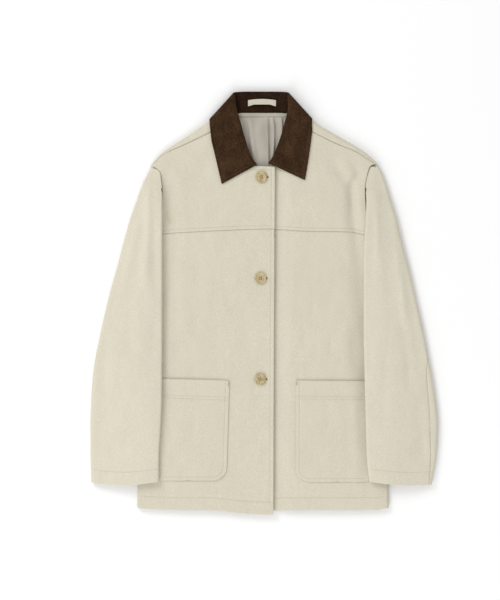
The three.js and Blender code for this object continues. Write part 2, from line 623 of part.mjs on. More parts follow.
// Height of the crest between leaf and stand, and of the stand behind the neck
const STAND_ASIDE = 5.2;
const LEAF_SETTLE = { crest: 4.0, edge: 2.9, reach: 26 };
const CREST_LIFT = 1.6;
const STAND_LIFT = { seam: 0.4, crest: 1.2 };
const CREST_GAP = 0.75;
const NECK_GAP = 0.9;
const BACK_CREST = COLLAR / 2 + CREST_ROLL + STAND_LIFT.crest / 2;
const crestLevel = (s) => {
  const x = collarAt.rollX(s);
  const y = collarAt.rollY(s);
  return lerp(BACK_CREST, shelfLevel(x, y) + CREST_LIFT, collarAt.over(s));
};
function standBack(t) {
  const crest = COLLAR / 2 + 2 * CREST_ROLL + STAND_LIFT.crest;
  return lerp(backLevel(0, NECK_SEAM_Y) + STAND_LIFT.seam, crest, ease(t));
}

// Leaf: t from the crest (0) to its outer edge (1); the first stretch rounds over the crest
function collarLeaf(s, t) {
  const rollX = collarAt.rollX(s);
  const rollY = collarAt.rollY(s);
  const edgeX = collarAt.edgeX(s);
  const edgeY = collarAt.edgeY(s);
  const over = collarAt.over(s);
  const length = Math.hypot(edgeX - rollX, edgeY - rollY);
  const a = t < 0 ? CREST_ROLL * (1 - Math.cos(((1 + t) * Math.PI) / 2)) : lerp(CREST_ROLL, length, t);
  const x = lerp(rollX, edgeX, a / length);
  const y = lerp(rollY, edgeY, a / length);
  const round = quarter(a / CREST_ROLL);
  const crest = crestLevel(s);
  const settle = ease((a - CREST_ROLL) / LEAF_SETTLE.reach);
  const above = lerp(LEAF_SETTLE.crest, LEAF_SETTLE.edge, settle);
  const high = lerp(crest + CREST_GAP, shelfLevel(x, y) + above, round);
  const low = lerp(crest - CREST_GAP, COLLAR / 2, round);
  return new THREE.Vector3(x, y, lerp(low, high, over));
}

// Stand: t from the neck seam (0) to the crest (1), then round it (1 to 2)
function collarStand(s, t) {
  const over = collarAt.over(s);
  const turning = Math.sqrt(2 * Math.sqrt(over * (1 - over)));
  const aside = STAND_ASIDE * turning;
  const rollX = collarAt.rollX(s) - Math.sign(collarAt.rollX(s)) * TURN_IN.x * aside;
  const rollY = collarAt.rollY(s) - TURN_IN.y * aside;
  const tableX = collarAt.seamX(s);
  const tableY = over < 0.001 ? backTopY(tableX) : collarAt.seamY(s);
  const toRoll = Math.hypot(rollX - tableX, rollY - tableY);
  const gap = NECK_GAP / toRoll;
  const seamX = lerp(tableX, rollX, gap);
  const seamY = lerp(tableY, rollY, gap);
  const length = Math.hypot(rollX - seamX, rollY - seamY);
  const rounding = Math.min(CREST_ROLL, length / 3);
  const fromCrest = t > 1 ? rounding * (1 - Math.sin(((t - 1) * Math.PI) / 2)) : lerp(length, rounding, t);
  const along = 1 - fromCrest / length;
  const x = lerp(seamX, rollX, along);
  const y = lerp(seamY, rollY, along);
  const round = quarter(fromCrest / rounding);
  const crest = crestLevel(s);
  const low = lerp(crest - CREST_GAP, shelfLevel(x, y), round);
  const high = lerp(crest + CREST_GAP, standBack(clamp(along, 0, 1)), round);
  return new THREE.Vector3(x, y, lerp(high, low, over));
}

// Patch pocket: u from the outer to the inner edge, v from the top to the bottom
function pocket({ outer, inner, innerLow, top, topInner, bottom }) {
  return (u, v) => {
    const row = 1 - (1 - v) ** CORNER_CROWD;
    const fromBottom = (1 - row) * (top - bottom);
    const round = POCKET_CORNER * (1 - quarter(fromBottom / POCKET_CORNER));
    const inside = Math.sign(inner - outer);
    const x = lerp(outer + inside * round, lerp(inner, innerLow, row) - inside * round, u);
    const y = lerp(lerp(top, topInner, ease((u - 1) / TOP_TURN + 1)), bottom, row);
    return new THREE.Vector3(x, y, frontLevel(x, y) + CANVAS + REST_GAP);
  };
}

// Lining: a sheet over the back with soft upright folds that deepen away from the neck seam
function liningHeight(x, y) {
  const fall = ease((LINING_BOX.high - y) / PLEAT_FADE);
  const down = LINING_BOX.high - y;
  const folds = liningFolds.reduce((sum, fold) => {
    const middle = fold.x + fold.lean * down;
    return sum + fold.height * Math.exp(-(((x - middle) / fold.width) ** 2));
  }, 0);
  return backLevel(x, y) + CANVAS / 2 + REST_GAP + LINING / 2 + folds * fall;
}
function lining(u, v) {
  const x = lerp(LINING_BOX.left, LINING_BOX.right, u);
  const y = lerp(LINING_BOX.high, LINING_BOX.low, v);
  return new THREE.Vector3(x, y, liningHeight(x, y));
}
function neckTape(u, v) {
  const x = lerp(TAPE_BOX.left, TAPE_BOX.right, u);
  const y = lerp(TAPE_BOX.high, TAPE_BOX.low, v);
  const under = liningHeight(x, TAPE_BOX.high) + LINING / 2 + REST_GAP;
  return new THREE.Vector3(x, y, under + TAPE / 2 + TAPE_RISE * ease(v));
}
function hangerLoop(u, v) {
  const x = lerp(LOOP.left, LOOP.right, u);
  const bow = Math.sin(Math.PI * u);
  const y = LOOP.middle + LOOP.bow * bow + lerp(-LOOP.half, LOOP.half, v);
  const along = (y - NECK_SEAM_Y) / (BACK_CREST_Y - NECK_SEAM_Y);
  return new THREE.Vector3(x, y, standBack(along) + COLLAR / 2 + REST_GAP + LINING / 2 + LOOP.stand * bow);
}

// Four-hole button: a turned disc with a raised rim and a dished face
const wasm = await Module();
wasm.setup();
function toManifold(geometry) {
  const bare = geometry.clone();
  bare.deleteAttribute('normal');
  bare.deleteAttribute('uv');
  const merged = mergeVertices(bare, 1e-4);
  return new wasm.Manifold(new wasm.Mesh({
    numProp: 3,
    vertProperties: new Float32Array(merged.attributes.position.array),
    triVerts: new Uint32Array(merged.index.array),
  }));
}
function buttonGeometry() {
  const r = BUTTON_RADIUS;
  const h = BUTTON_DEPTH;
  const profile = table('radius height', [
    [0, 0], [0.7 * r, 0], [0.95 * r, 0.3 * h], [r, 0.6 * h], [0.95 * r, 0.9 * h], [0.85 * r, h],
    [0.7 * r, 0.85 * h], [0.55 * r, 0.68 * h], [0, 0.66 * h],
  ]);
  const lathe = new THREE.LatheGeometry(profile.map((p) => new THREE.Vector2(p.radius, p.height)), 20);
  lathe.rotateX(Math.PI / 2);
  let solid = toManifold(lathe);
  for (const [i, j] of [[1, 1], [1, -1], [-1, 1], [-1, -1]]) {
    const hole = new THREE.CylinderGeometry(BUTTON_HOLE_RADIUS, BUTTON_HOLE_RADIUS, 3 * h, 6);
    hole.rotateX(Math.PI / 2);
    hole.translate(i * BUTTON_HOLE_OFFSET, j * BUTTON_HOLE_OFFSET, 0);
    solid = solid.subtract(toManifold(hole));
  }
  const mesh = solid.getMesh();
  const geometry = new THREE.BufferGeometry();
  geometry.setAttribute('position', new THREE.Float32BufferAttribute(mesh.vertProperties, 3));
  geometry.setIndex(Array.from(mesh.triVerts));
  geometry.computeVertexNormals();
  return geometry;
}

const group = new THREE.Group();
const canvasCloth = new THREE.MeshStandardMaterial({ color: '#dad4c2', roughness: 0.92, metalness: 0 });
const collarCloth = new THREE.MeshStandardMaterial({ color: '#3f2e20', roughness: 0.97, metalness: 0 });
const liningCloth = new THREE.MeshStandardMaterial({ color: '#b4aea2', roughness: 0.6, metalness: 0 });
const horn = new THREE.MeshStandardMaterial({ color: '#c9b68c', roughness: 0.4, metalness: 0 });

function add(name, geometry, material) {
  const mesh = new THREE.Mesh(geometry, material);
  mesh.name = name;
  group.add(mesh);
  return mesh;
}

// Back
const backKnots = [SIDE_END, 0, 0.2, 1, 1.25, 1.75, 2, 2.8, 3, 3 - SIDE_END];
const backUs = stops(backKnots, [3, 3, 5, 4, 2, 4, 5, 3, 3]);
const backVs = stops([0, 0.68, 0.9, 1, 1.5, 2], [5, 5, 4, 4, 2]);
const outsideNeck = (i, j) => backVs[j] < 1 || backUs[i] < 1 || backUs[i] >= 2;
add('back', wall(backPanel(), backUs, backVs, CANVAS, outsideNeck), canvasCloth);

// Fronts and yokes
const flat = () => 0;
const edgeRight = placketX;
const edgeLeft = () => UNDERLAP_X;
const rightSide = { armhole: armholeRight, side: sideRight, sign: -1, edge: edgeRight, drop: flat };
const leftSide = { armhole: armholeLeft, side: sideLeft, sign: 1, edge: edgeLeft, drop: dip };
const yokeUs = stops([0, 0.2, 1, 2], [3, 5, 9]);
const yokeVs = stops([0, 0.64, 0.9, 1], [3, 4, 3]);
const frontUs = stops([SIDE_END, 0, 1], [3, 9]);
const frontVs = stops([0, 0.115, 0.16, 1], [2, 2, 9]);
const panels = {
  right: { ...rightSide, seam: yokeSeamRight, neck: neckRight, hem: hemRight },
  left: { ...leftSide, seam: yokeSeamLeft, neck: neckLeft, hem: hemLeft },
};
for (const [name, sizes] of Object.entries(panels)) {
  add(`yoke_${name}`, wall(yoke(sizes), yokeUs, yokeVs, CANVAS), canvasCloth);
  add(`front_${name}`, wall(front(sizes), frontUs, frontVs, CANVAS), canvasCloth);
}

// Sleeves
const topUs = stops([0, 1, 2, 3, 4], [4, 6, 4, 2]);
const underUs = stops([0, 1, 2, 3], [6, 2, 3]);
const topStations = stops([0, 8, CLIMB_START, CLIMB_END, LAST_STATION], [8, 2, 1, 9]);
const underStations = topStations.slice(2);
const sleeves = {
  right: makeSleeve(-1, sleeveRight, armholeRight, sideRight, backSeamRight),
  left: makeSleeve(1, sleeveLeft, armholeLeft, sideLeft, backSeamLeft),
};
for (const [name, sleeve] of Object.entries(sleeves)) {
  add(`sleeve_top_${name}`, wall(sleeve.top, topUs, topStations, CANVAS), canvasCloth);
  add(`sleeve_under_${name}`, wall(sleeve.under, underUs, underStations, CANVAS), canvasCloth);
}

// Pockets
for (const [name, sizes] of Object.entries(pockets)) {
  add(name, wall(pocket(sizes), stops([0, 1], [7]), stops([0, 1], [8]), CANVAS), canvasCloth);
}

// Collar, lining, tape and loop
const collarStops = stops([0, 4, 5, 9, 10, 12, 13, 17, 18, COLLAR_LAST], [6, 2, 4, 3, 2, 3, 4, 2, 6]);
add('collar_leaf', wall(collarLeaf, collarStops, stops([-1, 0, 1], [3, 4]), COLLAR), collarCloth);
add('collar_stand', wall(collarStand, collarStops, stops([0, 1, 2], [2, 3]), COLLAR), collarCloth);
add('back_lining', wall(lining, stops([0, 1], [16]), stops([0, 1], [6]), LINING), liningCloth);
add('neck_tape', wall(neckTape, stops([0, 1], [8]), stops([0, 1], [1]), TAPE), liningCloth);
add('hanger_loop', wall(hangerLoop, stops([0, 1], [10]), stops([0, 1], [2]), LINING), liningCloth);

// Buttons, from the collar down
const buttonPlaces = table('x y', [[-5.2, 220.3], [-6.7, 43.2], [-7.1, -133.3]]);
buttonPlaces.forEach(({ x, y }, i) => {
  const button = add(`button_${i + 1}`, buttonGeometry(), horn);
  button.position.set(x, y, frontLevel(x, y) + CANVAS / 2 + REST_GAP);
});

export default group;
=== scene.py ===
# Looks of the chore jacket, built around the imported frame. Lengths are in millimetres until a mesh is
# made; the meshes are in metres. +X is the viewer's right, +Y towards the collar, +Z up from the surface.
import math

import bmesh
import bpy
import numpy as np
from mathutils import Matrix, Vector
from mathutils.bvhtree import BVHTree


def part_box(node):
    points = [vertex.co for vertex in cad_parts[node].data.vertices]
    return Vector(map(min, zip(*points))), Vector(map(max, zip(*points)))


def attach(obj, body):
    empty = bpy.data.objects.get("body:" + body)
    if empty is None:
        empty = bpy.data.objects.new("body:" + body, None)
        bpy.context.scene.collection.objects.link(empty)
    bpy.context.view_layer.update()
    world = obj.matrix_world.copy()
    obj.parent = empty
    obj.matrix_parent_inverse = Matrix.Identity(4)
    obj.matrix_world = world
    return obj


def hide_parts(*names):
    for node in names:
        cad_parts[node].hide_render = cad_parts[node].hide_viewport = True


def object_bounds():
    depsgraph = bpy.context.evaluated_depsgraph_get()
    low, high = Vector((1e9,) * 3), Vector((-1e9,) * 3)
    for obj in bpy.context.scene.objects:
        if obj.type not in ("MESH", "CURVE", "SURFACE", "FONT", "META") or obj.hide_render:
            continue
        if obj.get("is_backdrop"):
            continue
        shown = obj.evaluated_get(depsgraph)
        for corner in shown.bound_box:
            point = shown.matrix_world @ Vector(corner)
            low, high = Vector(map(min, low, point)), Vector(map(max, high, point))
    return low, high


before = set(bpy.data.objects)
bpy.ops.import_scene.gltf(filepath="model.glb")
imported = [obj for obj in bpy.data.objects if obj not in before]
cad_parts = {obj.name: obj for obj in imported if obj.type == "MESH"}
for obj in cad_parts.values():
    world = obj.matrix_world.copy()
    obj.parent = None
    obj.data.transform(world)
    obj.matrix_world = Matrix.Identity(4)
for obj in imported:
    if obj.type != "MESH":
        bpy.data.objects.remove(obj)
cad_low, cad_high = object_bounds()
MM = 0.001

# Cloth thicknesses, clearances and fold radii, as in the solids
CANVAS = 1.6
COLLAR = 2.0
LINING = 1.0
TAPE = 0.8
SEAM_GAP = 0.4
YOKE_GAP = 0.6
REST_GAP = 0.4
BODY_ROLL = 4
SLEEVE_ROLL = 5
CREST_ROLL = 3
FLOOR_LEVEL = CANVAS / 2
LOFT = 3
LOFT_REACH = 60
COLLAR_LIFT = 2.7
COLLAR_REACH = 45
PLACKET_DIP = 3
SLEEVE_BULGE = 3
UNDERARM_Y = 65
SHOULDER_SLOPE = 0.84
UNDERARM_CURL = 12
MIN_TURN = 0.3
PLACKET_END_X = 21
DIP_REACH = 30
UNDERLAP_X = -30
ROLL_DEPTH = BODY_ROLL / SHOULDER_SLOPE

# Sewing: distances in from an edge, and the size of a stitch
EDGE_STITCH = 6.1
HEM_TURN = 22
STITCH_PITCH = 3.1
STITCH_LENGTH = 2.2
STITCH_RADIUS = 0.26
GROOVE_DEPTH = 0.55
GROOVE_WIDTH = 1.0


def clamp(value, low, high):
    return np.minimum(np.maximum(value, low), high)


def lerp(a, b, t):
    return a + (b - a) * t


def ease(t):
    c = clamp(t, 0.0, 1.0)
    return c * c * (3 - 2 * c)


def quarter(t):
    return np.sqrt(np.maximum(0.0, 1 - (1 - clamp(t, 0.0, 1.0)) ** 2))


def track(rows, by, key):
    """Smooth curve through two columns of a table, without overshoot, level beyond its ends."""
    rows = rows[np.argsort(rows[:, by])]
    xs = rows[:, by]
    ys = rows[:, key]
    slopes = np.diff(ys) / np.diff(xs)
    tangents = np.empty(len(xs))
    tangents[0] = slopes[0]
    tangents[-1] = slopes[-1]
    before = slopes[:-1]
    after = slopes[1:]
    product = before * after
    total = np.where(np.abs(before + after) < 1e-12, 1.0, before + after)
    tangents[1:-1] = np.where(product <= 0, 0.0, 2 * product / total)

    def read(x):
        x = clamp(np.asarray(x, float), xs[0], xs[-1])
        i = np.clip(np.searchsorted(xs, x, side="right") - 1, 0, len(xs) - 2)
        span = xs[i + 1] - xs[i]
        t = (x - xs[i]) / span
        rise = ys[i + 1] - ys[i]
        bend = tangents[i] * span
        leave = tangents[i + 1] * span
        return ys[i] + bend * t + (3 * rise - 2 * bend - leave) * t**2 + (bend + leave - 2 * rise) * t**3

    return read


def table(*rows):
    return np.array(rows, float)


# Outline of the shoulders, the shoulder seams and the neck seam down each front: x, y
shoulder_fold = table(
    (-198.2, 239.0), (-192.9, 246.8), (-182.4, 259.0), (-171.9, 267.8), (-140.4, 288.8),
    (-98.4, 316.2), (-74.0, 332.0), (-5.0, 376.0), (62.6, 332.0), (90.6, 314.5),
    (132.6, 290.5), (174.6, 265.5), (187.0, 255.0), (195.6, 246.8), (199.9, 239.8),
)
shoulder_seam = table(
    (-197.0, 240.2), (-189.4, 248.5), (-178.2, 259.2), (-138.7, 277.6), (-96.9, 297.0), (-72.0, 308.9),
    (60.5, 309.2), (85.3, 298.6), (127.8, 278.4), (161.8, 264.6), (187.2, 248.0), (198.2, 240.6),
)
neck_right = table(
    (-72.0, 308.9), (-68.7, 297.5), (-58.2, 273.0), (-45.9, 259.0), (-33.7, 247.6), (-14.4, 239.8),
    (18.8, 238.8),
)
neck_left = table(
    (-30.0, 236.0), (4.0, 236.5), (12.0, 240.0), (25.0, 247.6),
    (36.5, 259.0), (48.0, 273.0), (57.5, 297.5), (60.5, 309.2),
)

# Armholes: y, x on the front, x on the back. Sides: y, right x, left x
armhole_right = table(
    (240.2, -197.0, -197.6), (233.3, -187.2, -195.7), (227.0, -181.7, -193.5), (212.8, -180.0, -188.5),
    (201.2, -178.9, -186.5), (171.5, -180.2, -184.5), (121.1, -185.9, -187.5), (92.8, -192.9, -193.5),
    (64.8, -199.9, -199.9),
)
armhole_left = table(
    (240.8, 196.6, 198.4), (239.2, 188.5, 197.0), (233.8, 184.0, 195.0), (218.9, 179.8, 190.5),
    (202.0, 176.9, 186.5), (171.5, 178.0, 184.0), (121.1, 182.5, 185.5), (92.8, 189.5, 190.5),
    (64.8, 196.4, 196.4),
)
SIDE_HEM_Y = -358.8
sides = table(
    (64.8, -199.9, 196.4), (-47.2, -206.9, 202.6), (-169.8, -215.7, 211.3), (-274.8, -220.1, 215.7),
    (SIDE_HEM_Y, -222.7, 218.3),
)

# Hems, the placket edge and the yoke seams
YOKE_CORNER_Y = 121
hem_right = table(
    (-222.7, SIDE_HEM_Y), (-192.9, -360.6), (-135.2, -362.2), (-98.4, -362.4), (-66.9, -364.2),
    (-45.9, -367.2), (-14.4, -369.4), (16.2, -370.5),
)
hem_left = table(
    (-30.2, -363.7), (17.1, -363.8), (38.1, -362.4), (195.6, -362.2), (206.1, -360.5), (218.3, SIDE_HEM_Y),
)
placket = table((240, 18.8), (75.2, 17.9), (-64.8, 17.1), (-239.8, 16.4), (-370.5, 16.0))
yoke_seam_right = table((-186, 121.1), (-176.3, 121.6), (-24.9, 128.8), (18.1, 129.8))
yoke_seam_left = table(
    (-30.2, 130.0), (19.7, 128.8), (70.4, 125.7), (149.0, 124.4), (175.4, 119.7), (182, 119),
)

# Sleeves: station, outer fold x and y, inner fold x and y, turn, rise, lift, sag
sleeve_right = table(
    (0, -198.9, 238.4, -187.2, 233.4, 0, 0.1, 2.0, 0), (1, -201.0, 231.9, -181.8, 226.8, 0, 0.5, 2.0, 0),
    (2, -205.2, 223.1, -180.6, 219.4, 0, 1.0, 2.0, 0), (3, -210.4, 213.5, -179.8, 211.0, 0, 1.8, 2.0, 0),
    (4, -215.2, 201.2, -178.6, 200.4, 0, 3.2, 2.0, 0), (5, -218.9, 192.0, -178.4, 191.4, 0.5, 4.8, 2.0, 0),
    (6, -222.7, 180.2, -178.4, 180.2, 1, 6.2, 2.0, 0), (7, -232.3, 154.0, -178.1, 154.0, 1, 7.4, 2.0, 0),
    (8, -242.8, 119.0, -178.1, 119.0, 1, 8.4, 2.0, 0), (9, -253.8, 76.5, -178.1, 76.5, 1, 8.6, 2.0, 0),
    (10, -256.2, 67.5, -178.1, 67.5, 1, 8.6, 2.0, 0), (11, -273.4, 5.2, -178.1, 5.2, 1, 8.6, 2.0, 0),
    (12, -289.2, -64.8, -178.1, -64.8, 1, 8.6, 2.0, 0), (13, -295.6, -97.0, -178.2, -97.0, 1, 8.8, 2.2, 0),
    (14, -299.8, -124.0, -178.5, -124.0, 1, 10.6, 4.3, 0),
    (15, -303.2, -169.8, -178.9, -169.8, 1, 10.6, 4.3, 0),
    (16, -304.5, -213.5, -180.7, -213.5, 1, 10.6, 4.3, 0),
    (17, -304.3, -266.0, -183.7, -266.0, 1, 10.4, 4.3, -1),
    (18, -302.8, -314.8, -184.2, -312.4, 1, 10.2, 4.3, -5),
)
sleeve_left = table(
    (0, 200.6, 238.4, 188.5, 238.4, 0, 0.1, 2.0, 0), (1, 204.7, 231.9, 184.4, 234.0, 0, 0.5, 2.0, 0),
    (2, 208.2, 223.1, 182.0, 225.4, 0, 1.0, 2.0, 0), (3, 211.8, 213.5, 179.4, 215.6, 0, 1.8, 2.0, 0),
    (4, 215.7, 201.2, 176.8, 202.0, 0, 3.2, 2.0, 0), (5, 218.9, 191.0, 177.6, 191.0, 0.5, 4.8, 2.0, 0),
    (6, 221.8, 180.2, 178.4, 180.2, 1, 6.2, 2.0, 0), (7, 229.7, 154.0, 177.8, 154.0, 1, 7.4, 2.0, 0),
    (8, 238.4, 119.0, 175.4, 119.0, 1, 8.4, 2.0, 0), (9, 249.4, 76.5, 173.8, 76.5, 1, 8.6, 2.0, 0),
    (10, 251.8, 67.5, 173.7, 67.5, 1, 8.6, 2.0, 0), (11, 266.2, 5.2, 173.7, 5.2, 1, 8.6, 2.0, 0),
    (12, 281.6, -64.8, 173.7, -64.8, 1, 8.6, 2.0, 0), (13, 287.8, -97.0, 174.6, -97.0, 1, 8.8, 2.2, 0),
    (14, 293.0, -124.0, 175.2, -124.0, 1, 10.6, 4.3, 0), (15, 300.4, -169.8, 176.3, -169.8, 1, 10.6, 4.3, 0),
    (16, 304.5, -213.5, 177.5, -213.5, 1, 10.6, 4.3, 0), (17, 302.0, -266.0, 178.9, -266.0, 1, 10.4, 4.3, -1),
    (18, 293.4, -318.6, 183.7, -312.4, 1, 10.2, 4.3, -3),
)
OUTER_X, OUTER_Y, INNER_X, INNER_Y, TURN, RISE, LIFT, SAG = range(1, 9)
LAST_STATION = 18
CLIMB_START = 9
CLIMB_END = 10
BULGE_FULL_AT = 9
OUTER_ROLL_FULL_AT = 6
MIN_INNER_ROLL = 0.6
CAP_GAP = 0.1
BACK_SEAM_GAP = 0.12
LEAST_RUN = 2
BULGE_POWER = 1.2
STEP_BEFORE = 14
STEP_LENGTH = 15
back_seam_right = table((0, -8), (18, -8))
back_seam_left = table(
    (0, -8), (7, -8), (9, -9), (11, -6), (12, 0.5), (13, 4.5),
    (14, 10.8), (15, 15), (16, 16.5), (17, 12.5), (18, 7),
)
front_seam = table((64.8, -199.9, 196.4), (-320, -202.6, 203.0))

# Collar lines: roll x and y, edge x and y, seam x and y, over
collar_right = table(
    (-12.7, 241.4, -74.3, 207.9, -15.6, 240.8, 1), (-21.8, 253.2, -78.6, 226.0, -34.4, 247.8, 1),
    (-33.2, 284.5, -87.0, 262.0, -55.5, 271.0, 1), (-41.6, 314.0, -92.4, 285.0, -69.8, 303.5, 1),
    (-49.4, 343.0, -94.2, 301.0, -73.4, 319.0, 1),
)
collar_back = table(
    (-30.0, 369.4, -50.0, 311.0, -38.0, 333.6, 0), (-4.8, 369.4, -5.0, 309.5, -4.8, 333.4, 0),
    (20.0, 369.4, 40.0, 311.0, 28.0, 333.6, 0),
)
collar_left = table(
    (42.0, 343.0, 83.8, 301.0, 62.0, 319.0, 1), (35.0, 310.0, 82.0, 285.0, 58.6, 303.5, 1),
    (26.4, 282.0, 79.0, 262.0, 45.6, 271.0, 1), (13.4, 252.0, 74.2, 232.0, 25.6, 248.8, 1),
    (7.1, 244.5, 71.2, 214.7, 9.8, 241.8, 1),
)
turn_right = (-53.8, 368.4, -95.8, 320.8, -73.2, 331.2)
turn_left = (43.0, 368.4, 84.0, 321.8, 62.0, 331.2)
TURN_STEPS = 4
TURN_LEAF = 6.2
TURN_CREST = 2.5
TURN_ON_FRONT = 1.46
TURN_BEHIND = 1.26
TURN_DROP = 3
TURN_SLACK = 0.05
TURN_IN_X = 0.76
TURN_IN_Y = 0.65

# Pockets: outer x, inner x at the top and the bottom, top y, top y at the inner corner, bottom y
POCKET_CORNER = 24
POCKET_BAND = 30.5
pocket_sizes = {
    "pocket_right": (-202, -60.6, -66, -132.0, -137.0, -310.8),
    "pocket_left": (198, 55.0, 55.0, -136.5, -134.5, -313.0),
}

# Lining, tape and hanger loop
LINING_SHELL = 0.6
LINING_LEFT = -52
LINING_RIGHT = 42
LINING_LOW = 205
LINING_HIGH = 331.4
TAPE_LOW = 326.4
TAPE_HIGH = 332.2
LOOP_LEFT = -28.4
LOOP_RIGHT = 20.6
LOOP_MIDDLE = 350
LOOP_BOW = 3.4
LOOP_GROOVE = 0.2

fold_outline_y = track(shoulder_fold, 0, 1)
shoulder_seam_y = track(shoulder_seam, 0, 1)
side_right = track(sides, 0, 1)
side_left = track(sides, 0, 2)
placket_x = track(placket, 0, 1)


def fold_y(x):
    return fold_outline_y(x) - CANVAS / 2 / SHOULDER_SLOPE


# The cloth under the collar leaf, which is lifted a little
UNDER_LEAF_LEFT = -97
UNDER_LEAF_RIGHT = 85
UNDER_LEAF_LOW = 299


def collar_near(x, y):
    across = np.maximum(0, np.maximum(UNDER_LEAF_LEFT - x, x - UNDER_LEAF_RIGHT))
    down = np.maximum(0, UNDER_LEAF_LOW - y)
    return 1 - ease(np.hypot(across, down) / COLLAR_REACH)


def edge_distance(x, y):
    above = np.maximum(0, y - UNDERARM_Y)
    level = np.minimum(y, UNDERARM_Y)
    from_right = np.maximum(0, x - side_right(level) - CANVAS / 2)
    from_left = np.maximum(0, side_left(level) - CANVAS / 2 - x)
    from_fold = (fold_y(x) - y) * SHOULDER_SLOPE
    nearest = np.minimum(np.hypot(from_right, above), np.hypot(from_left, above))
    return np.maximum(0, np.minimum(nearest, from_fold))


def level_at(x, y, distance):
    round_up = BODY_ROLL * (1 + quarter(distance / BODY_ROLL))
    loft = LOFT * (1 - np.exp(-distance / LOFT_REACH))
    return FLOOR_LEVEL + round_up + loft + COLLAR_LIFT * collar_near(x, y)


def front_level(x, y):
    return level_at(x, y, edge_distance(x, y))


def shelf_level(x, y):
    return level_at(x, y, np.maximum(BODY_ROLL, edge_distance(x, y)))


def back_level(x, y):
    return FLOOR_LEVEL + COLLAR_LIFT * collar_near(x, y)


def dip(x):
    return PLACKET_DIP * (1 - ease((x - PLACKET_END_X) / DIP_REACH))


# Grid lines: a start, then runs of (end, step)
def grid_lines(start, *runs):
    lines = [start]
    for end, step in runs:
        count = max(1, int(round(abs(end - lines[-1]) / step)))
        first = lines[-1]
        lines += [lerp(first, end, k / count) for k in range(1, count + 1)]
    return np.array(lines)


def points(x, y, z):
    return np.stack(np.broadcast_arrays(x, y, z), axis=-1).astype(float)


# Creases: x and y of the start, the middle and the end, height, and width on its two sides
def crease_field(rows, strength=1.0):
    t = np.linspace(0, 1, 41)
    samples = []
    for x0, y0, x1, y1, x2, y2, height, left, right in rows:
        cx = 2 * x1 - (x0 + x2) / 2
        cy = 2 * y1 - (y0 + y2) / 2
        px = (1 - t) ** 2 * x0 + 2 * t * (1 - t) * cx + t**2 * x2
        py = (1 - t) ** 2 * y0 + 2 * t * (1 - t) * cy + t**2 * y2
        samples.append((px, py, np.gradient(px), np.gradient(py), height * strength, left, right))

    def field(x, y):
        total = np.zeros(x.shape)
        for px, py, dx, dy, height, left, right in samples:
            reach = 2.6 * max(left, right) + 6
            near = (x > px.min() - reach) & (x < px.max() + reach)
            near &= (y > py.min() - reach) & (y < py.max() + reach)
            if not near.any():
                continue
            xs = x[near]
            ys = y[near]
            gap = (xs[:, None] - px) ** 2 + (ys[:, None] - py) ** 2
            k = gap.argmin(1)
            distance = np.sqrt(gap[np.arange(len(k)), k])
            side = (xs - px[k]) * dy[k] - (ys - py[k]) * dx[k]
            width = np.where(side < 0, left, right)
            along = t[k]
            fade = ease(along / 0.3) * ease((1 - along) / 0.35)
            swell = 0.8 + 0.2 * np.sin(9 * along + px[0])
            total[near] += height * fade * swell * np.exp(-((distance / width) ** 2))
        return total

    return field


front_creases = crease_field([
    (-128.0, 262.0, -140.0, 200.0, -150.0, 138.0, -1.5, 26, 15),
    (-174.0, 168.0, -166.0, 152.0, -152.0, 138.0, -1.6, 4, 6),
    (140.0, 250.0, 148.0, 200.0, 156.0, 140.0, -1.0, 16, 22),
    (-107.2, 267.8, -112.4, 197.8, -151.0, 131.0, -1.5, 12, 17),
    (-115.9, 266.0, -140.4, 224.0, -163.2, 183.8, 1.2, 14, 11),
    (-174.0, 212.0, -168.4, 168.0, -172.0, 124.0, -2.2, 12, 9),
    (-50.0, 200.0, -46.0, 168.0, -60.0, 136.0, -0.6, 9, 13),
    (99.3, 259.0, 141.3, 215.0, 164.0, 136.5, -1.6, 14, 10),
    (123.8, 264.0, 153.6, 215.0, 171.0, 154.0, 1.2, 8, 9),
    (150.0, 258.0, 170.0, 206.0, 177.0, 131.0, -1.6, 8, 6),
    (-110.7, 117.0, -114.2, 57.8, -107.2, 5.0, -0.9, 9, 14),
    (-116.0, 5.0, -119.4, -38.5, -112.4, -73.5, -0.9, 8, 11),
    (-84.4, -38.5, -82.7, -73.5, -87.9, -106.0, -0.8, 6, 9),
    (-31.9, 14.0, -33.7, -38.5, -26.7, -85.8, -0.6, 11, 8),
    (-66.9, -100.0, -62.0, -126.0, -67.5, -158.0, 0.8, 6, 8),
    (-172.0, 110.0, -170.0, 5.0, -172.0, -122.0, -1.1, 8, 12),
    (73.0, -28.0, 70.5, -64.8, 77.0, -92.0, -0.9, 8, 6),
    (116.8, -52.0, 114.5, -78.8, 121.0, -108.0, -0.8, 7, 5),
    (120.0, 100.0, 141.3, 71.8, 152.5, 38.0, -0.9, 8, 12),
    (160.6, -20.0, 156.0, -82.0, 163.0, -132.0, -2.0, 13, 9),
    (55.6, 92.8, 57.8, 5.0, 51.0, -52.0, -0.5, 13, 9),
    (151.8, -165.0, 149.0, -240.0, 156.0, -298.0, -0.9, 7, 9),
    (-130.0, -173.0, -125.4, -222.0, -134.0, -285.0, -0.7, 11, 8),
    (110.0, -180.0, 112.0, -212.0, 106.0, -250.0, -0.4, 9, 7),
    (-150.0, 60.0, -140.0, 20.0, -146.0, -40.0, 0.6, 12, 9),
], 1.35)
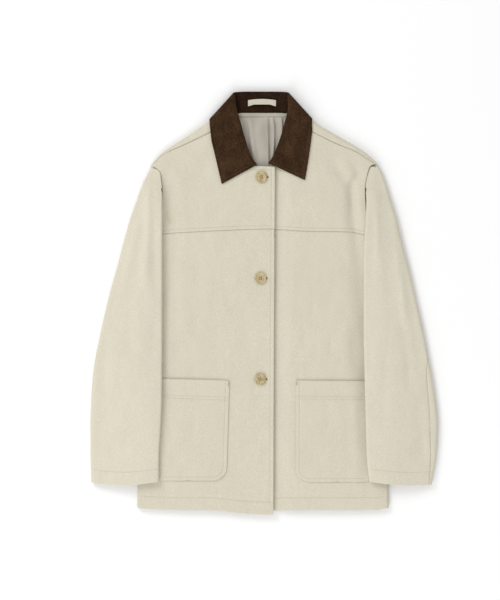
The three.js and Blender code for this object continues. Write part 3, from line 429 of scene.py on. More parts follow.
back_creases = crease_field([
    (-120.0, 140.0, -128.0, 20.0, -110.0, -130.0, 1.3, 12, 18),
    (-30.0, 90.0, -38.0, -40.0, -24.0, -170.0, 1.0, 15, 10),
    (66.0, 150.0, 76.0, 40.0, 62.0, -70.0, 1.2, 10, 16),
    (130.0, 60.0, 122.0, -80.0, 140.0, -240.0, 1.2, 16, 11),
    (-150.0, -120.0, -138.0, -220.0, -152.0, -320.0, 0.9, 9, 14),
    (20.0, -60.0, 30.0, -190.0, 12.0, -320.0, 0.8, 14, 9),
    (-70.0, 175.0, -96.0, 120.0, -90.0, 60.0, 0.9, 9, 12),
])
sleeve_creases = crease_field([
    (-201.0, 233.0, -204.3, 117.0, -208.7, 0.0, 1.8, 6, 8),
    (-204.3, 175.0, -228.0, 108.0, -259.8, -15.8, 1.5, 10, 8),
    (-203.0, 200.0, -215.7, 101.5, -231.4, -12.0, -1.3, 8, 10),
    (-191.0, 190.0, -192.0, 92.8, -189.4, -70.0, -1.2, 8, 6),
    (-273.4, -5.0, -278.0, -134.8, -269.0, -252.0, -1.0, 8, 12),
    (-233.2, 10.0, -237.5, -47.0, -229.7, -106.0, -0.8, 10, 7),
    (-196.0, -20.0, -192.0, -60.0, -197.0, -110.0, -0.9, 7, 9),
    (-240.0, -150.0, -232.0, -190.0, -238.0, -240.0, -0.5, 12, 9),
    (221.8, 186.0, 235.0, 66.5, 261.0, -138.0, 1.6, 9, 7),
    (240.0, -20.0, 252.5, -99.8, 253.3, -176.0, -1.1, 7, 10),
    (200.0, 202.0, 211.0, 92.8, 224.0, -50.0, -1.1, 12, 9),
    (187.5, 180.0, 190.0, 110.0, 185.0, 18.0, -1.1, 6, 9),
    (206.0, -70.0, 212.0, -140.0, 205.0, -220.0, -0.6, 12, 9),
    (272.0, -180.0, 277.0, -230.0, 270.0, -285.0, -0.8, 8, 10),
], 1.7)
collar_creases = crease_field([
    (-66.0, 330.0, -74.0, 290.0, -66.0, 235.0, 0.7, 13, 9),
    (58.0, 322.0, 66.0, 285.0, 60.0, 235.0, 0.6, 9, 13),
    (-84.0, 318.0, -80.0, 296.0, -84.0, 270.0, -0.6, 8, 8),
    (73.0, 318.0, 70.0, 296.0, 73.0, 272.0, -0.5, 7, 8),
])
lining_creases = crease_field([
    (-34.0, 334.0, -30.0, 296.0, -20.0, 228.0, -3.2, 3.5, 8),
    (-45.0, 330.0, -43.0, 300.0, -34.0, 250.0, 2.6, 8, 4),
    (-24.0, 330.0, -20.0, 285.0, -12.0, 225.0, 3.4, 4, 8),
    (-8.0, 330.0, -6.0, 285.0, -4.0, 225.0, 2.2, 9, 7),
    (1.0, 338.0, 5.0, 290.0, 5.4, 222.0, 6.5, 8, 1.1),
    (9.0, 338.0, 10.5, 290.0, 9.5, 226.0, -6.0, 2.2, 3),
    (13.0, 330.0, 17.0, 296.0, 14.0, 240.0, 5.0, 2.0, 1.6),
    (19.5, 334.0, 23.0, 300.0, 17.5, 250.0, -5.0, 2, 4),
    (26.0, 332.0, 31.0, 306.0, 25.0, 270.0, 4.6, 2.2, 1.8),
    (35.0, 332.0, 37.0, 310.0, 33.0, 280.0, -3.0, 2, 5),
])


def ripple(x, y, size=1.0):
    """Small uneven waves of the laid cloth."""
    waves = (
        0.11 * np.sin(x / 23.0 + 1.1 * np.sin(y / 47.0))
        + 0.09 * np.sin(y / 31.0 + 0.8 * np.sin(x / 39.0) + 1.3)
        + 0.06 * np.sin((x + y) / 13.0 + 0.9 * np.sin((x - y) / 29.0))
        + 0.05 * np.sin((x - 1.4 * y) / 17.0 + 2.1)
    )
    return size * waves


# How far a line of points is felt, the distance given beyond that, and the points taken at a time
PATH_REACH = 12
PATH_FAR = 99.0
PATH_CHUNK = 60


def path_distance(x, y, path):
    """Distance of each point from a dense line of points, out to PATH_REACH."""
    path = np.asarray(path)
    out = np.full(x.shape, PATH_FAR)
    for k in range(0, len(path), PATH_CHUNK):
        part = path[k:k + PATH_CHUNK + 1]
        low = part.min(0) - PATH_REACH
        high = part.max(0) + PATH_REACH
        near = (x > low[0]) & (x < high[0]) & (y > low[1]) & (y < high[1])
        if near.any():
            gap = np.hypot(x[near][:, None] - part[:, 0], y[near][:, None] - part[:, 1]).min(1)
            out[near] = np.minimum(out[near], gap)
    return out


def dense(path, step=0.8):
    path = np.asarray(path, float)
    lengths = np.concatenate([[0], np.cumsum(np.linalg.norm(np.diff(path, axis=0), axis=1))])
    at = np.linspace(0, lengths[-1], max(2, int(lengths[-1] / step)))
    return np.stack([np.interp(at, lengths, path[:, k]) for k in range(path.shape[1])], axis=1)


def groove(x, y, paths, depth=GROOVE_DEPTH, width=GROOVE_WIDTH):
    total = np.zeros(x.shape)
    for path in paths:
        total -= depth * np.exp(-((path_distance(x, y, path) / width) ** 2))
    return total


# Lines of topstitching seen from above, as x and y
def front_line(edge, y_high, y_low, inset):
    y = np.linspace(y_high, y_low, 200)
    return dense(np.stack([edge(y) - inset, y], axis=1))


def seam_line(read, x0, x1, above):
    x = np.linspace(x0, x1, 160)
    return dense(np.stack([x, read(x) + above], axis=1))


yoke_y_right = track(yoke_seam_right, 0, 1)
yoke_y_left = track(yoke_seam_left, 0, 1)
hem_y_right = track(hem_right, 0, 1)
hem_y_left = track(hem_left, 0, 1)
placket_stitch = front_line(placket_x, 233.5, -370.5 + HEM_TURN, EDGE_STITCH)
placket_top = dense([(-20.0, 234.0), (13.5, 233.5)])
yoke_stitch_right = seam_line(yoke_y_right, -180, 11, EDGE_STITCH)
yoke_stitch_left = seam_line(yoke_y_left, 19.5, 176, EDGE_STITCH)
hem_stitch_right = seam_line(hem_y_right, -214, 15, HEM_TURN)
hem_stitch_left = seam_line(hem_y_left, 17, 210, HEM_TURN)


def pocket_outline(sizes, inset):
    """Inner side, round corner and bottom of a pocket, from its top, moved in by inset."""
    outer, inner, inner_low, top, top_inner, bottom = sizes
    inside = math.copysign(1, inner - outer)
    radius = POCKET_CORNER - inset
    rows = 1 - (1 - np.linspace(0, 1, 160)) ** 2.2
    y = lerp(top_inner, bottom + inset, rows)
    level = (top - y) / (top - bottom)
    pull = inset + radius * (1 - quarter((y - bottom - inset) / radius))
    x = lerp(inner, inner_low, level) - inside * pull
    line = np.stack([x, y], axis=1)
    corner = [(outer + inside * POCKET_CORNER, bottom + inset)]
    return dense(np.concatenate([line, corner]))


pocket_stitch = {}
pocket_bands = {}
for name, sizes in pocket_sizes.items():
    pocket_stitch[name] = pocket_outline(sizes, 6.6)
    outer, inner, inner_low, top, top_inner, bottom = sizes
    start = inner - math.copysign(1.5, inner - outer)
    pocket_bands[name] = [
        dense([(start, top_inner - drop), (outer + math.copysign(4, inner - outer), top - drop)])
        for drop in (POCKET_BAND - 2.4, POCKET_BAND + 2.4)
    ]


# Buttons, from the collar down: x, y
button_places = ((-5.2, 220.3), (-6.7, 43.2), (-7.1, -133.3))


def pucker(x, y):
    """The cloth is drawn in round each button and buttonhole."""
    total = np.zeros(x.shape)
    for bx, by in button_places:
        away = np.hypot((x - bx - 2) / 1.5, y - by)
        angle = np.arctan2(y - by, x - bx)
        total += 0.35 * np.cos(2 * angle) * -1 * np.exp(-(((away - 12) / 7) ** 2))
        total -= 0.5 * np.exp(-((away / 8) ** 2))
    return total


HEM_PUCKER = 0.28


def hem_pucker(along, up):
    """Slanting puckers between a hem's edge and its stitching."""
    reach = ease(up / 4) * ease((HEM_TURN - up) / 5)
    slant = np.sin(along / 1.9 + up / 7 + 1.4 * np.sin(along / 17.0))
    return HEM_PUCKER * reach * slant * (0.6 + 0.4 * np.sin(along / 29.0))


# Soft hollows of the fronts beside the sleeves: y, x of the hollow, depth, width
hollow_right = table(
    (238, -176, 0, 8), (205, -168, -5.6, 15), (120, -169, -5.2, 16), (-40, -171, -4.4, 16),
    (-200, -172, -3.2, 15), (-300, -176, -2.2, 14), (-350, -180, 0, 12),
)
hollow_left = table(
    (232, 166, 0, 6), (205, 155, -6.4, 9), (150, 156, -6.0, 10), (110, 162, -4.2, 12), (0, 172, -5.0, 15),
    (-80, 178, -7.0, 18), (-130, 178, -6.4, 17), (-220, 177, -4.2, 14), (-300, 180, -2.0, 11),
    (-350, 180, 0, 11),
)


def hollows(x, y):
    total = np.zeros(x.shape)
    for rows in (hollow_right, hollow_left):
        middle, depth, width = (track(rows, 0, k)(y) for k in (1, 2, 3))
        total += depth * np.exp(-(((x - middle) / width) ** 2))
    return total


def front_relief(x, y):
    return front_creases(x, y) + ripple(x, y) + pucker(x, y) + hollows(x, y)


PLACKET_SINK = 3.6
PLACKET_SINK_ASIDE = 3
PLACKET_SINK_WIDTH = 12


def beside_placket(x, y):
    """The left front sinks a little more along the edge that lies on it."""
    aside = (x - placket_x(y) - PLACKET_SINK_ASIDE) / PLACKET_SINK_WIDTH
    return -PLACKET_SINK * np.exp(-(aside ** 2))


# Shells
def grid_normals(p):
    along = np.gradient(p, axis=1)
    across = np.gradient(p, axis=0)
    n = np.cross(along, across)
    return n / np.maximum(np.linalg.norm(n, axis=2, keepdims=True), 1e-12)


def unit(v):
    return v / np.maximum(np.linalg.norm(v, axis=-1, keepdims=True), 1e-12)


def add_mesh(name, verts, faces, material, node):
    mesh = bpy.data.meshes.new(name)
    mesh.from_pydata((np.asarray(verts) * MM).tolist(), [], faces)
    mesh.validate()
    obj = bpy.data.objects.new(name, mesh)
    bpy.context.scene.collection.objects.link(obj)
    bm = bmesh.new()
    bm.from_mesh(mesh)
    bmesh.ops.remove_doubles(bm, verts=bm.verts, dist=1e-7)
    bmesh.ops.recalc_face_normals(bm, faces=bm.faces)
    bm.to_mesh(mesh)
    bm.free()
    mesh.polygons.foreach_set("use_smooth", [True] * len(mesh.polygons))
    mesh.materials.append(material)
    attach(obj, "root")
    if node:
        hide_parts(node)
    return obj


RIM_ANGLES = (45, 90, 135)


def shell(name, p, thickness, material, keep=None, rounded=True):
    """Closed thin wall around a grid of middle points, with round rims on its four sides."""
    n = grid_normals(p)
    rows, columns = p.shape[:2]
    half = thickness / 2
    p = p.copy()
    rims = []
    if rounded:
        out_low_v = unit(p[0] - p[1])
        out_high_v = unit(p[-1] - p[-2])
        out_low_u = unit(p[:, 0] - p[:, 1])
        out_high_u = unit(p[:, -1] - p[:, -2])
        p[0] -= out_low_v * half
        p[-1] -= out_high_v * half
        p[:, 0] -= out_low_u * half
        p[:, -1] -= out_high_u * half
        ring = [(0, i) for i in range(columns)] + [(j, columns - 1) for j in range(1, rows)]
        ring += [(rows - 1, i) for i in range(columns - 2, -1, -1)] + [(j, 0) for j in range(rows - 2, 0, -1)]
        outward = np.zeros_like(p)
        outward[0] += out_low_v
        outward[-1] += out_high_v
        outward[:, 0] += out_low_u
        outward[:, -1] += out_high_u
        rims = ring
    top = p + n * half
    low = p - n * half
    layer = rows * columns
    verts = [top.reshape(-1, 3), low.reshape(-1, 3)]
    j, i = np.mgrid[0:rows - 1, 0:columns - 1]
    mask = np.ones(j.shape, bool) if keep is None else keep
    a = (j * columns + i)[mask]
    quads = np.stack([a, a + 1, a + 1 + columns, a + columns], axis=1)
    faces = quads.tolist() + (quads[:, ::-1] + layer).tolist()
    if rounded:
        index = np.array([r * columns + c for r, c in rims])
        flat_p = p.reshape(-1, 3)[index]
        flat_n = n.reshape(-1, 3)[index]
        flat_o = unit(outward.reshape(-1, 3)[index])
        loops = [index]
        base = 2 * layer
        for angle in RIM_ANGLES:
            a = math.radians(angle)
            verts.append(flat_p + flat_o * half * math.sin(a) + flat_n * half * math.cos(a))
            loops.append(np.arange(base, base + len(index)))
            base += len(index)
        loops.append(index + layer)
        for first, second in zip(loops[:-1], loops[1:]):
            quad = np.stack([first, second, np.roll(second, -1), np.roll(first, -1)], axis=1)
            faces += quad.tolist()
    else:
        padded = np.zeros((rows + 1, columns + 1), bool)
        padded[1:-1, 1:-1] = mask
        for r, c in zip(*np.nonzero(mask)):
            a = r * columns + c
            b = a + 1
            d = a + columns
            e = d + 1
            if not padded[r, c + 1]:
                faces.append([a, a + layer, b + layer, b])
            if not padded[r + 1, c + 2]:
                faces.append([b, b + layer, e + layer, e])
            if not padded[r + 2, c + 1]:
                faces.append([e, e + layer, d + layer, d])
            if not padded[r + 1, c]:
                faces.append([d, d + layer, a + layer, a])
    used = np.concatenate(verts)
    obj = add_mesh(name + "_cloth", used, faces, material, None)
    loose = bmesh.new()
    loose.from_mesh(obj.data)
    bmesh.ops.delete(loose, geom=[v for v in loose.verts if not v.link_faces], context="VERTS")
    loose.to_mesh(obj.data)
    loose.free()
    obj.data.polygons.foreach_set("use_smooth", [True] * len(obj.data.polygons))
    return obj


# Materials
def srgb(r, g, b):
    def to_linear(c):
        c = c / 255
        return c / 12.92 if c <= 0.04045 else ((c + 0.055) / 1.055) ** 2.4

    return (to_linear(r), to_linear(g), to_linear(b), 1.0)


class Nodes:
    """A material's node tree, with short calls for the few nodes that these cloths need."""

    def __init__(self, name):
        self.material = bpy.data.materials.new(name)
        self.material.use_nodes = True
        self.tree = self.material.node_tree
        self.shader = self.tree.nodes["Principled BSDF"]
        self.place = self.tree.nodes.new("ShaderNodeTexCoord").outputs["Object"]

    def new(self, kind, **inputs):
        node = self.tree.nodes.new(kind)
        for key, value in inputs.items():
            node.inputs[key.replace("_", " ")].default_value = value
        return node

    def link(self, source, target):
        self.tree.links.new(source, target)

    def mapped(self, angle=0.0, scale=(1, 1, 1)):
        node = self.tree.nodes.new("ShaderNodeMapping")
        node.inputs["Rotation"].default_value = (0, 0, math.radians(angle))
        node.inputs["Scale"].default_value = scale
        self.link(self.place, node.inputs["Vector"])
        return node.outputs["Vector"]

    def noise(self, scale, detail=2.0, rough=0.5, vector=None, distortion=0.0):
        node = self.new(
            "ShaderNodeTexNoise", Scale=scale, Detail=detail, Roughness=rough, Distortion=distortion,
        )
        self.link(vector or self.place, node.inputs["Vector"])
        return node.outputs["Fac"]

    def bands(self, pitch_mm, angle, distortion=0.6):
        node = self.new(
            "ShaderNodeTexWave", Scale=0.314159 / (pitch_mm * MM), Distortion=distortion, Detail=1.0,
        )
        node.inputs["Detail Scale"].default_value = 0.6
        self.link(self.mapped(angle), node.inputs["Vector"])
        return node.outputs["Fac"]

    def ramp(self, source, *stops):
        node = self.tree.nodes.new("ShaderNodeValToRGB")
        self.link(source, node.inputs["Fac"])
        elements = node.color_ramp.elements
        for k, (at, color) in enumerate(stops):
            element = elements[k] if k < 2 else elements.new(at)
            element.position = at
            element.color = color
        return node.outputs["Color"]

    def math(self, operation, a, b):
        node = self.tree.nodes.new("ShaderNodeMath")
        node.operation = operation
        for socket, value in zip(node.inputs, (a, b)):
            if isinstance(value, (int, float)):
                socket.default_value = value
            else:
                self.link(value, socket)
        return node.outputs[0]

    def multiply(self, a, b, amount=1.0):
        node = self.tree.nodes.new("ShaderNodeMix")
        node.data_type = "RGBA"
        node.blend_type = "MULTIPLY"
        node.inputs["Factor"].default_value = amount
        self.link(a, node.inputs["A"])
        self.link(b, node.inputs["B"])
        return node.outputs["Result"]

    def bump(self, height, strength, distance_mm):
        node = self.new("ShaderNodeBump", Strength=strength, Distance=distance_mm * MM)
        self.link(height, node.inputs["Height"])
        self.link(node.outputs["Normal"], self.shader.inputs["Normal"])

    def set(self, **values):
        for key, value in values.items():
            self.shader.inputs[key.replace("_", " ")].default_value = value


def grey(value):
    return (value, value, value, 1.0)


def twill(name, dark, light, angle=63.0):
    m = Nodes(name)
    mottle = m.ramp(m.noise(760, 3, 0.65, m.mapped(0, (1, 0.6, 1))), (0.3, dark), (0.7, light))
    slub = m.ramp(m.noise(70, 4, 0.65, m.mapped(0, (1, 0.3, 1))), (0.3, grey(0.95)), (0.7, grey(1.0)))
    broad = m.ramp(m.noise(7, 2, 0.5), (0.3, grey(0.975)), (0.7, grey(1.0)))
    ribs = m.bands(1.05, angle)
    threads = m.bands(0.55, angle - 90)
    shade = m.ramp(ribs, (0.0, grey(0.93)), (0.55, grey(1.0)))
    color = m.multiply(m.multiply(m.multiply(mottle, slub), broad), shade)
    m.link(color, m.shader.inputs["Base Color"])
    height = m.math("ADD", m.math("MULTIPLY", ribs, 0.6), m.math("MULTIPLY", threads, 0.25))
    height = m.math("ADD", height, m.math("MULTIPLY", m.noise(900, 2, 0.6), 0.5))
    m.bump(height, 0.4, 0.18)
    m.set(Roughness=0.92, Sheen_Weight=0.12, Sheen_Roughness=0.5, Specular_IOR_Level=0.2)
    return m.material


CANVAS_DARK = srgb(208, 201, 181)
CANVAS_LIGHT = srgb(226, 220, 201)
canvas = twill("canvas", CANVAS_DARK, CANVAS_LIGHT)
# The sleeves' canvas is a slightly lighter copy of the body's: painted light on the sleeves. Its twill runs
# at another angle.
canvas_sleeve_painted_light = twill("canvas_sleeve_painted_light", srgb(211, 205, 185), srgb(229, 223, 204), 80.0)


def collar_cloth(name, dark, light, sheen):
    m = Nodes(name)
    pile = m.noise(1300, 2, 0.6)
    tufts = m.noise(400, 3, 0.75, m.mapped(-35, (1.0, 0.75, 1.0)))
    stroke = m.noise(52, 4, 0.6, m.mapped(15, (1.0, 0.7, 1.0)))
    worn = m.noise(15, 3, 0.6)
    color = m.ramp(stroke, (0.3, dark), (0.72, light))
    color = m.multiply(color, m.ramp(tufts, (0.34, grey(0.5)), (0.5, grey(0.78)), (0.64, grey(1.06))))
    color = m.multiply(color, m.ramp(pile, (0.3, grey(0.6)), (0.7, grey(1.0))))
    color = m.multiply(color, m.ramp(worn, (0.3, grey(0.82)), (0.7, grey(1.0))))
    m.link(color, m.shader.inputs["Base Color"])
    height = m.math("ADD", m.math("MULTIPLY", pile, 0.7), m.math("MULTIPLY", tufts, 0.8))
    m.bump(height, 0.7, 0.5)
    m.set(Roughness=0.95, Sheen_Weight=sheen, Sheen_Roughness=0.4, Specular_IOR_Level=0.08)
    m.shader.inputs["Sheen Tint"].default_value = srgb(170, 128, 94)
    return m.material


brown = collar_cloth("collar_nap", srgb(62, 43, 28), srgb(92, 67, 45), 0.2)
# Painted shade: the collar stand gets a darker copy of the collar cloth, with almost no sheen, for the shade
# it lies in under the leaf.
brown_painted_shade = collar_cloth("collar_nap_painted_shade", srgb(42, 28, 17), srgb(66, 46, 30), 0.02)


def lining_material(name, dark, light, rough):
    m = Nodes(name)
    cloud = m.ramp(m.noise(24, 3, 0.55), (0.3, dark), (0.7, light))
    weave = m.bands(0.42, 0, 0.3)
    cross = m.bands(0.42, 90, 0.3)
    both = m.math("MULTIPLY", weave, cross)
    shade = m.ramp(both, (0.0, grey(0.95)), (0.6, grey(1.0)))
    m.link(m.multiply(cloud, shade), m.shader.inputs["Base Color"])
    m.bump(m.math("ADD", both, m.math("MULTIPLY", m.noise(700, 2, 0.6), 0.5)), 0.25, 0.1)
    m.set(Roughness=rough, Sheen_Weight=0.1, Specular_IOR_Level=0.4)
    return m.material


lining_cloth = lining_material("lining_cloth", srgb(172, 165, 153), srgb(187, 181, 169), 0.42)
tape_cloth = lining_material("tape_cloth", srgb(170, 163, 150), srgb(186, 179, 165), 0.7)
loop_cloth = lining_material("loop_cloth", srgb(202, 195, 178), srgb(216, 209, 192), 0.75)


def thread_material(name, color, pale):
    m = Nodes(name)
    twist = m.bands(0.5, 35, 0.4)
    m.link(m.ramp(twist, (0.0, color), (0.7, pale)), m.shader.inputs["Base Color"])
    m.bump(twist, 0.4, 0.08)
    m.set(Roughness=0.6, Specular_IOR_Level=0.35)
    return m.material


# The topstitching thread is darker than the canvas: partly its own colour, partly painted shade for the
# needle holes and the shadows along the stitches.
thread = thread_material("thread", srgb(172, 163, 141), srgb(193, 185, 164))
collar_thread = thread_material("collar_thread", srgb(84, 63, 45), srgb(106, 82, 60))
button_thread = thread_material("button_thread", srgb(150, 139, 134), srgb(182, 172, 165))
# Painted shade: a dark sheet fills each buttonhole slit, where there is only the shadowed opening.
slit_shade = thread_material("buttonhole_slit_painted_shade", srgb(96, 80, 60), srgb(118, 100, 76))


def horn_material():
    m = Nodes("horn")
    veins = m.noise(180, 4, 0.6, m.mapped(30, (1.0, 0.35, 1.0)), 1.4)
    spots = m.noise(420, 3, 0.6)
    color = m.ramp(veins, (0.28, srgb(160, 132, 88)), (0.5, srgb(192, 172, 126)), (0.75, srgb(214, 198, 158)))
    speckle = m.ramp(spots, (0.3, grey(0.88)), (0.6, grey(1.0)))
    m.link(m.multiply(color, speckle), m.shader.inputs["Base Color"])
    m.bump(veins, 0.12, 0.15)
    m.set(Roughness=0.32, Specular_IOR_Level=0.5, Subsurface_Weight=0.05)
    m.set(Coat_Weight=0.25, Coat_Roughness=0.2)
    return m.material


horn = horn_material()

made = {}

# Fronts and yokes
SIDE_END = -1 + SEAM_GAP / ((BODY_ROLL * math.pi) / 2)
LAP = 6.0


def from_side(u, width):
    round_in = BODY_ROLL * (1 - np.sin(-np.minimum(u, 0) * math.pi / 2))
    return np.where(u < 0, round_in, lerp(BODY_ROLL, width, np.maximum(u, 0)))


def yoke(armhole, sign, edge, seam, neck, drop):
    front = track(armhole, 0, 1)
    seam_y = track(seam, 0, 1)
    neck_y = track(neck, 0, 1)
    neck_end = neck[0, 0] if sign < 0 else neck[-1, 0]
    tip = armhole[0, 0] - SEAM_GAP
    start = float(seam_y(front(YOKE_CORNER_Y))) + YOKE_GAP / 2

    def top_y(x):
        shoulder = (x - neck_end) * sign > 0
        return np.where(shoulder, np.minimum(shoulder_seam_y(x), fold_y(x)) - SEAM_GAP, neck_y(x))

    def across(u, v):
        level = lerp(start, tip, v)
        closed = ease((level - 196) / 12)
        outer = front(level) - sign * lerp(SEAM_GAP, CAP_GAP, closed)
        inner = edge(level)
        corner = lerp(neck_end, (outer + inner) / 2, 0.5 * (1 - v))
        return np.where(u < 1, lerp(outer, corner, np.minimum(u, 1)), lerp(corner, inner, u - 1))

    us = grid_lines(0, (0.06, 0.012), (1, 0.024), (1.9, 0.024), (2, 0.009))
    vs = grid_lines(0, (0.1, 0.0075), (0.94, 0.021), (1, 0.012))
    u, v = np.meshgrid(us, vs)
    x = across(u, v)
    y = lerp(seam_y(across(u, 0 * v)) + YOKE_GAP / 2, top_y(across(u, 0 * v + 1)), v)
    return x, y, front_level(x, y) - drop(x)


def front(armhole, side, sign, edge, seam, hem, drop):
    armhole_x = track(armhole, 0, 1)
    seam_y = track(seam, 0, 1)
    hem_y = track(hem, 0, 1)
    start = float(seam_y(armhole_x(YOKE_CORNER_Y))) - YOKE_GAP / 2
    end = float(hem_y(side(SIDE_HEM_Y)))

    def across(u, v):
        level = lerp(start, end, v)
        at_side = side(level) - sign * CANVAS / 2
        outer = np.where(level > UNDERARM_Y, armhole_x(level) - sign * SEAM_GAP, at_side)
        return outer - sign * from_side(u, np.abs(edge(level) - outer))

    us = grid_lines(SIDE_END, (0, 0.14), (0.945, 0.0165), (1, 0.0038))
    vs = grid_lines(0, (0.02, 0.0025), (0.94, 0.0075), (0.962, 0.0019), (1, 0.0034))
    u, v = np.meshgrid(us, vs)
    x = across(u, v)
    top = seam_y(across(u, 0 * v)) - YOKE_GAP / 2
    y = lerp(top, hem_y(across(u, 0 * v + 1)), v)
    z = front_level(x, y) - drop(x)
    lap_rows = grid_lines(LAP, (0, 1.0))[:-1]
    under = top[0] + lap_rows[:, None]
    lap_x = np.repeat(x[:1], len(lap_rows), axis=0)
    under_z = front_level(lap_x, under) - drop(lap_x)
    x = np.concatenate([lap_x, x])
    y = np.concatenate([under, y])
    z = np.concatenate([under_z, z])
    past = y - (seam_y(x) - YOKE_GAP / 2)
    z = z - (CANVAS + 0.25) * ease((past + 1.6) / 2.2)
    return x, y, z


def flat(x):
    return 0 * x


def left_edge(level):
    return UNDERLAP_X + 0 * level


panels = {
    "right": dict(armhole=armhole_right, sign=-1, edge=placket_x, seam=yoke_seam_right, drop=flat),
    "left": dict(armhole=armhole_left, sign=1, edge=left_edge, seam=yoke_seam_left, drop=dip),
}
yoke_grooves = {"right": [yoke_stitch_right, placket_stitch, placket_top], "left": [yoke_stitch_left]}
front_grooves = {"right": [placket_stitch, hem_stitch_right], "left": [hem_stitch_left]}
hems = {"right": hem_right, "left": hem_left}
necks = {"right": neck_right, "left": neck_left}
side_of = {"right": side_right, "left": side_left}
hem_read = {"right": hem_y_right, "left": hem_y_left}
for name, sizes in panels.items():
    x, y, z = yoke(neck=necks[name], **sizes)
    z = z + front_relief(x, y) + groove(x, y, yoke_grooves[name])
    if name == "left":
        z = z + beside_placket(x, y)
    made["yoke_" + name] = shell("yoke_" + name, points(x, y, z), CANVAS, canvas)
    x, y, z = front(side=side_of[name], hem=hems[name], **sizes)
    up = y - hem_read[name](x)
    flatness = ease(edge_distance(x, y) / 10)
    relief = front_relief(x, y) * flatness + groove(x, y, front_grooves[name])
    relief = relief + hem_pucker(x, up) * flatness
    if name == "left":
        relief = relief + beside_placket(x, y)
    made["front_" + name] = shell("front_" + name, points(x, y, z + relief), CANVAS, canvas)

# Pockets
for name, sizes in pocket_sizes.items():
    outer, inner, inner_low, top, top_inner, bottom = sizes
    us = grid_lines(0, (0.9, 0.014), (1, 0.0062))
    vs = grid_lines(0, (1, 0.0075))
    u, v = np.meshgrid(us, vs)
    row = 1 - (1 - v) ** 1.6
    from_bottom = (1 - row) * (top - bottom)
    round_in = POCKET_CORNER * (1 - quarter(from_bottom / POCKET_CORNER))
    inside = math.copysign(1, inner - outer)
    x = lerp(outer + inside * round_in, lerp(inner, inner_low, row) - inside * round_in, u)
    y = lerp(lerp(top, top_inner, 0.6 * u + 0.4 * ease((u - 0.93) / 0.07)), bottom, row)
    z = front_level(x, y) + CANVAS + REST_GAP
    relief = front_relief(x, y) + groove(x, y, [pocket_stitch[name]] + pocket_bands[name], 0.45, 0.9)
    opening = np.exp(-((top - y) / 9.0) ** 2) * np.sin(math.pi * clamp(u, 0, 1)) ** 0.8
    z = z + relief + 0.9 * opening
    made[name] = shell(name, points(x, y, z), CANVAS, canvas)


# Back
NECK_RIGHT_X = -74
NECK_LEFT_X = 62.6
NECK_SEAM_Y = 333
NECK_RISE = 34
BACK_CREST_Y = 370
BACK_HEM_Y = -357.5


def back_top_y(x):
    in_neck = np.minimum(x - NECK_RIGHT_X, NECK_LEFT_X - x)
    inner = lerp(fold_y(NECK_RIGHT_X) - ROLL_DEPTH, NECK_SEAM_Y, ease(in_neck / NECK_RISE))
    return np.where(in_neck < 0, fold_y(x) - ROLL_DEPTH, inner)


def back_panel():
    arm_right = track(armhole_right, 0, 2)
    arm_left = track(armhole_left, 0, 2)
    tips = [float(fold_y(armhole_right[0, 2])), float(fold_y(armhole_left[0, 2]))]

    def across(u, v):
        tip_y = lerp(tips[0], tips[1], clamp(u / 3, 0, 1)) - ROLL_DEPTH
        level = lerp(BACK_HEM_Y, tip_y, v)
        high = level > UNDERARM_Y
        right = np.where(high, arm_right(level) + 3 * SEAM_GAP, side_right(level) + CANVAS / 2)
        left = np.where(high, arm_left(level) - 3 * SEAM_GAP, side_left(level) - CANVAS / 2)
        x = np.where(u < 1, lerp(right + BODY_ROLL, NECK_RIGHT_X, u), lerp(NECK_RIGHT_X, NECK_LEFT_X, u - 1))
        x = np.where(u > 2, lerp(NECK_LEFT_X, left - BODY_ROLL, u - 2), x)
        x = np.where(u < 0, right + from_side(u, 0), x)
        return np.where(u > 3, left - from_side(3 - u, 0), x)

    side_runs = (0, 0.14)
    us = grid_lines(SIDE_END, side_runs, (1, 0.034), (2, 0.032), (3, 0.034), (3 - SIDE_END, 0.14))
    vs = grid_lines(0, (0.034, 0.0034), (0.93, 0.0075), (1, 0.006), (1.5, 0.055), (2, 0.25))
    u, v = np.meshgrid(us, vs)
    low_v = np.minimum(v, 1)
    x = across(u, low_v)
    y_flat = lerp(BACK_HEM_Y, back_top_y(across(u, 0 * v + 1)), low_v)
    past = np.maximum(np.maximum(-u, u - 3), 0)
    lifted = BODY_ROLL * (1 - np.cos(past * math.pi / 2))
    curl = 1 - ease((y_flat - UNDERARM_Y) / UNDERARM_CURL)
    hidden = back_creases(x, y_flat) * ease((175 - y_flat) / 40) * ease(edge_distance(x, y_flat) / 14)
    z_flat = back_level(x, y_flat) + lifted * curl + np.maximum(hidden, 0)
    hem_up = y_flat - BACK_HEM_Y
    raised = 0.5 * (1 + hem_pucker(x, hem_up) / HEM_PUCKER) * HEM_PUCKER
    z_flat = z_flat + raised * ease(hem_up / 4) * ease((HEM_TURN - hem_up) / 5)
    t = np.maximum(v - 1, 0)
    fold = fold_y(x)
    depth = np.maximum(fold - shoulder_seam_y(x) - SEAM_GAP / 2, MIN_TURN)
    rolled = math.pi - np.arcsin(clamp(1 - depth / ROLL_DEPTH, 0, 1))
    strip = np.maximum(depth - ROLL_DEPTH, 0)
    angle = np.minimum(t * 2, 1) * rolled
    ahead = clamp(t * 2 - 1, 0, 1) * strip
    y_turn = fold - ROLL_DEPTH * (1 - np.sin(angle)) - ahead
    high = np.where(ahead > 0, front_level(x, y_turn), shelf_level(x, fold - ROLL_DEPTH))
    low = back_level(x, fold - ROLL_DEPTH)
    z_turn = lerp(low, high, (1 - np.cos(angle)) / 2) + front_relief(x, y_turn) * ease((t - 0.4) / 0.3)
    turned = v > 1
    p = points(x, np.where(turned, y_turn, y_flat), np.where(turned, z_turn, z_flat))
    mid_u = (us[:-1] + us[1:]) / 2
    mid_v = (vs[:-1] + vs[1:]) / 2
    keep = (mid_v[:, None] < 1) | (mid_u[None, :] < 1) | (mid_u[None, :] > 2)
    return p, keep


back_points, back_keep = back_panel()
made["back"] = shell("back", back_points, CANVAS, canvas, back_keep, rounded=False)


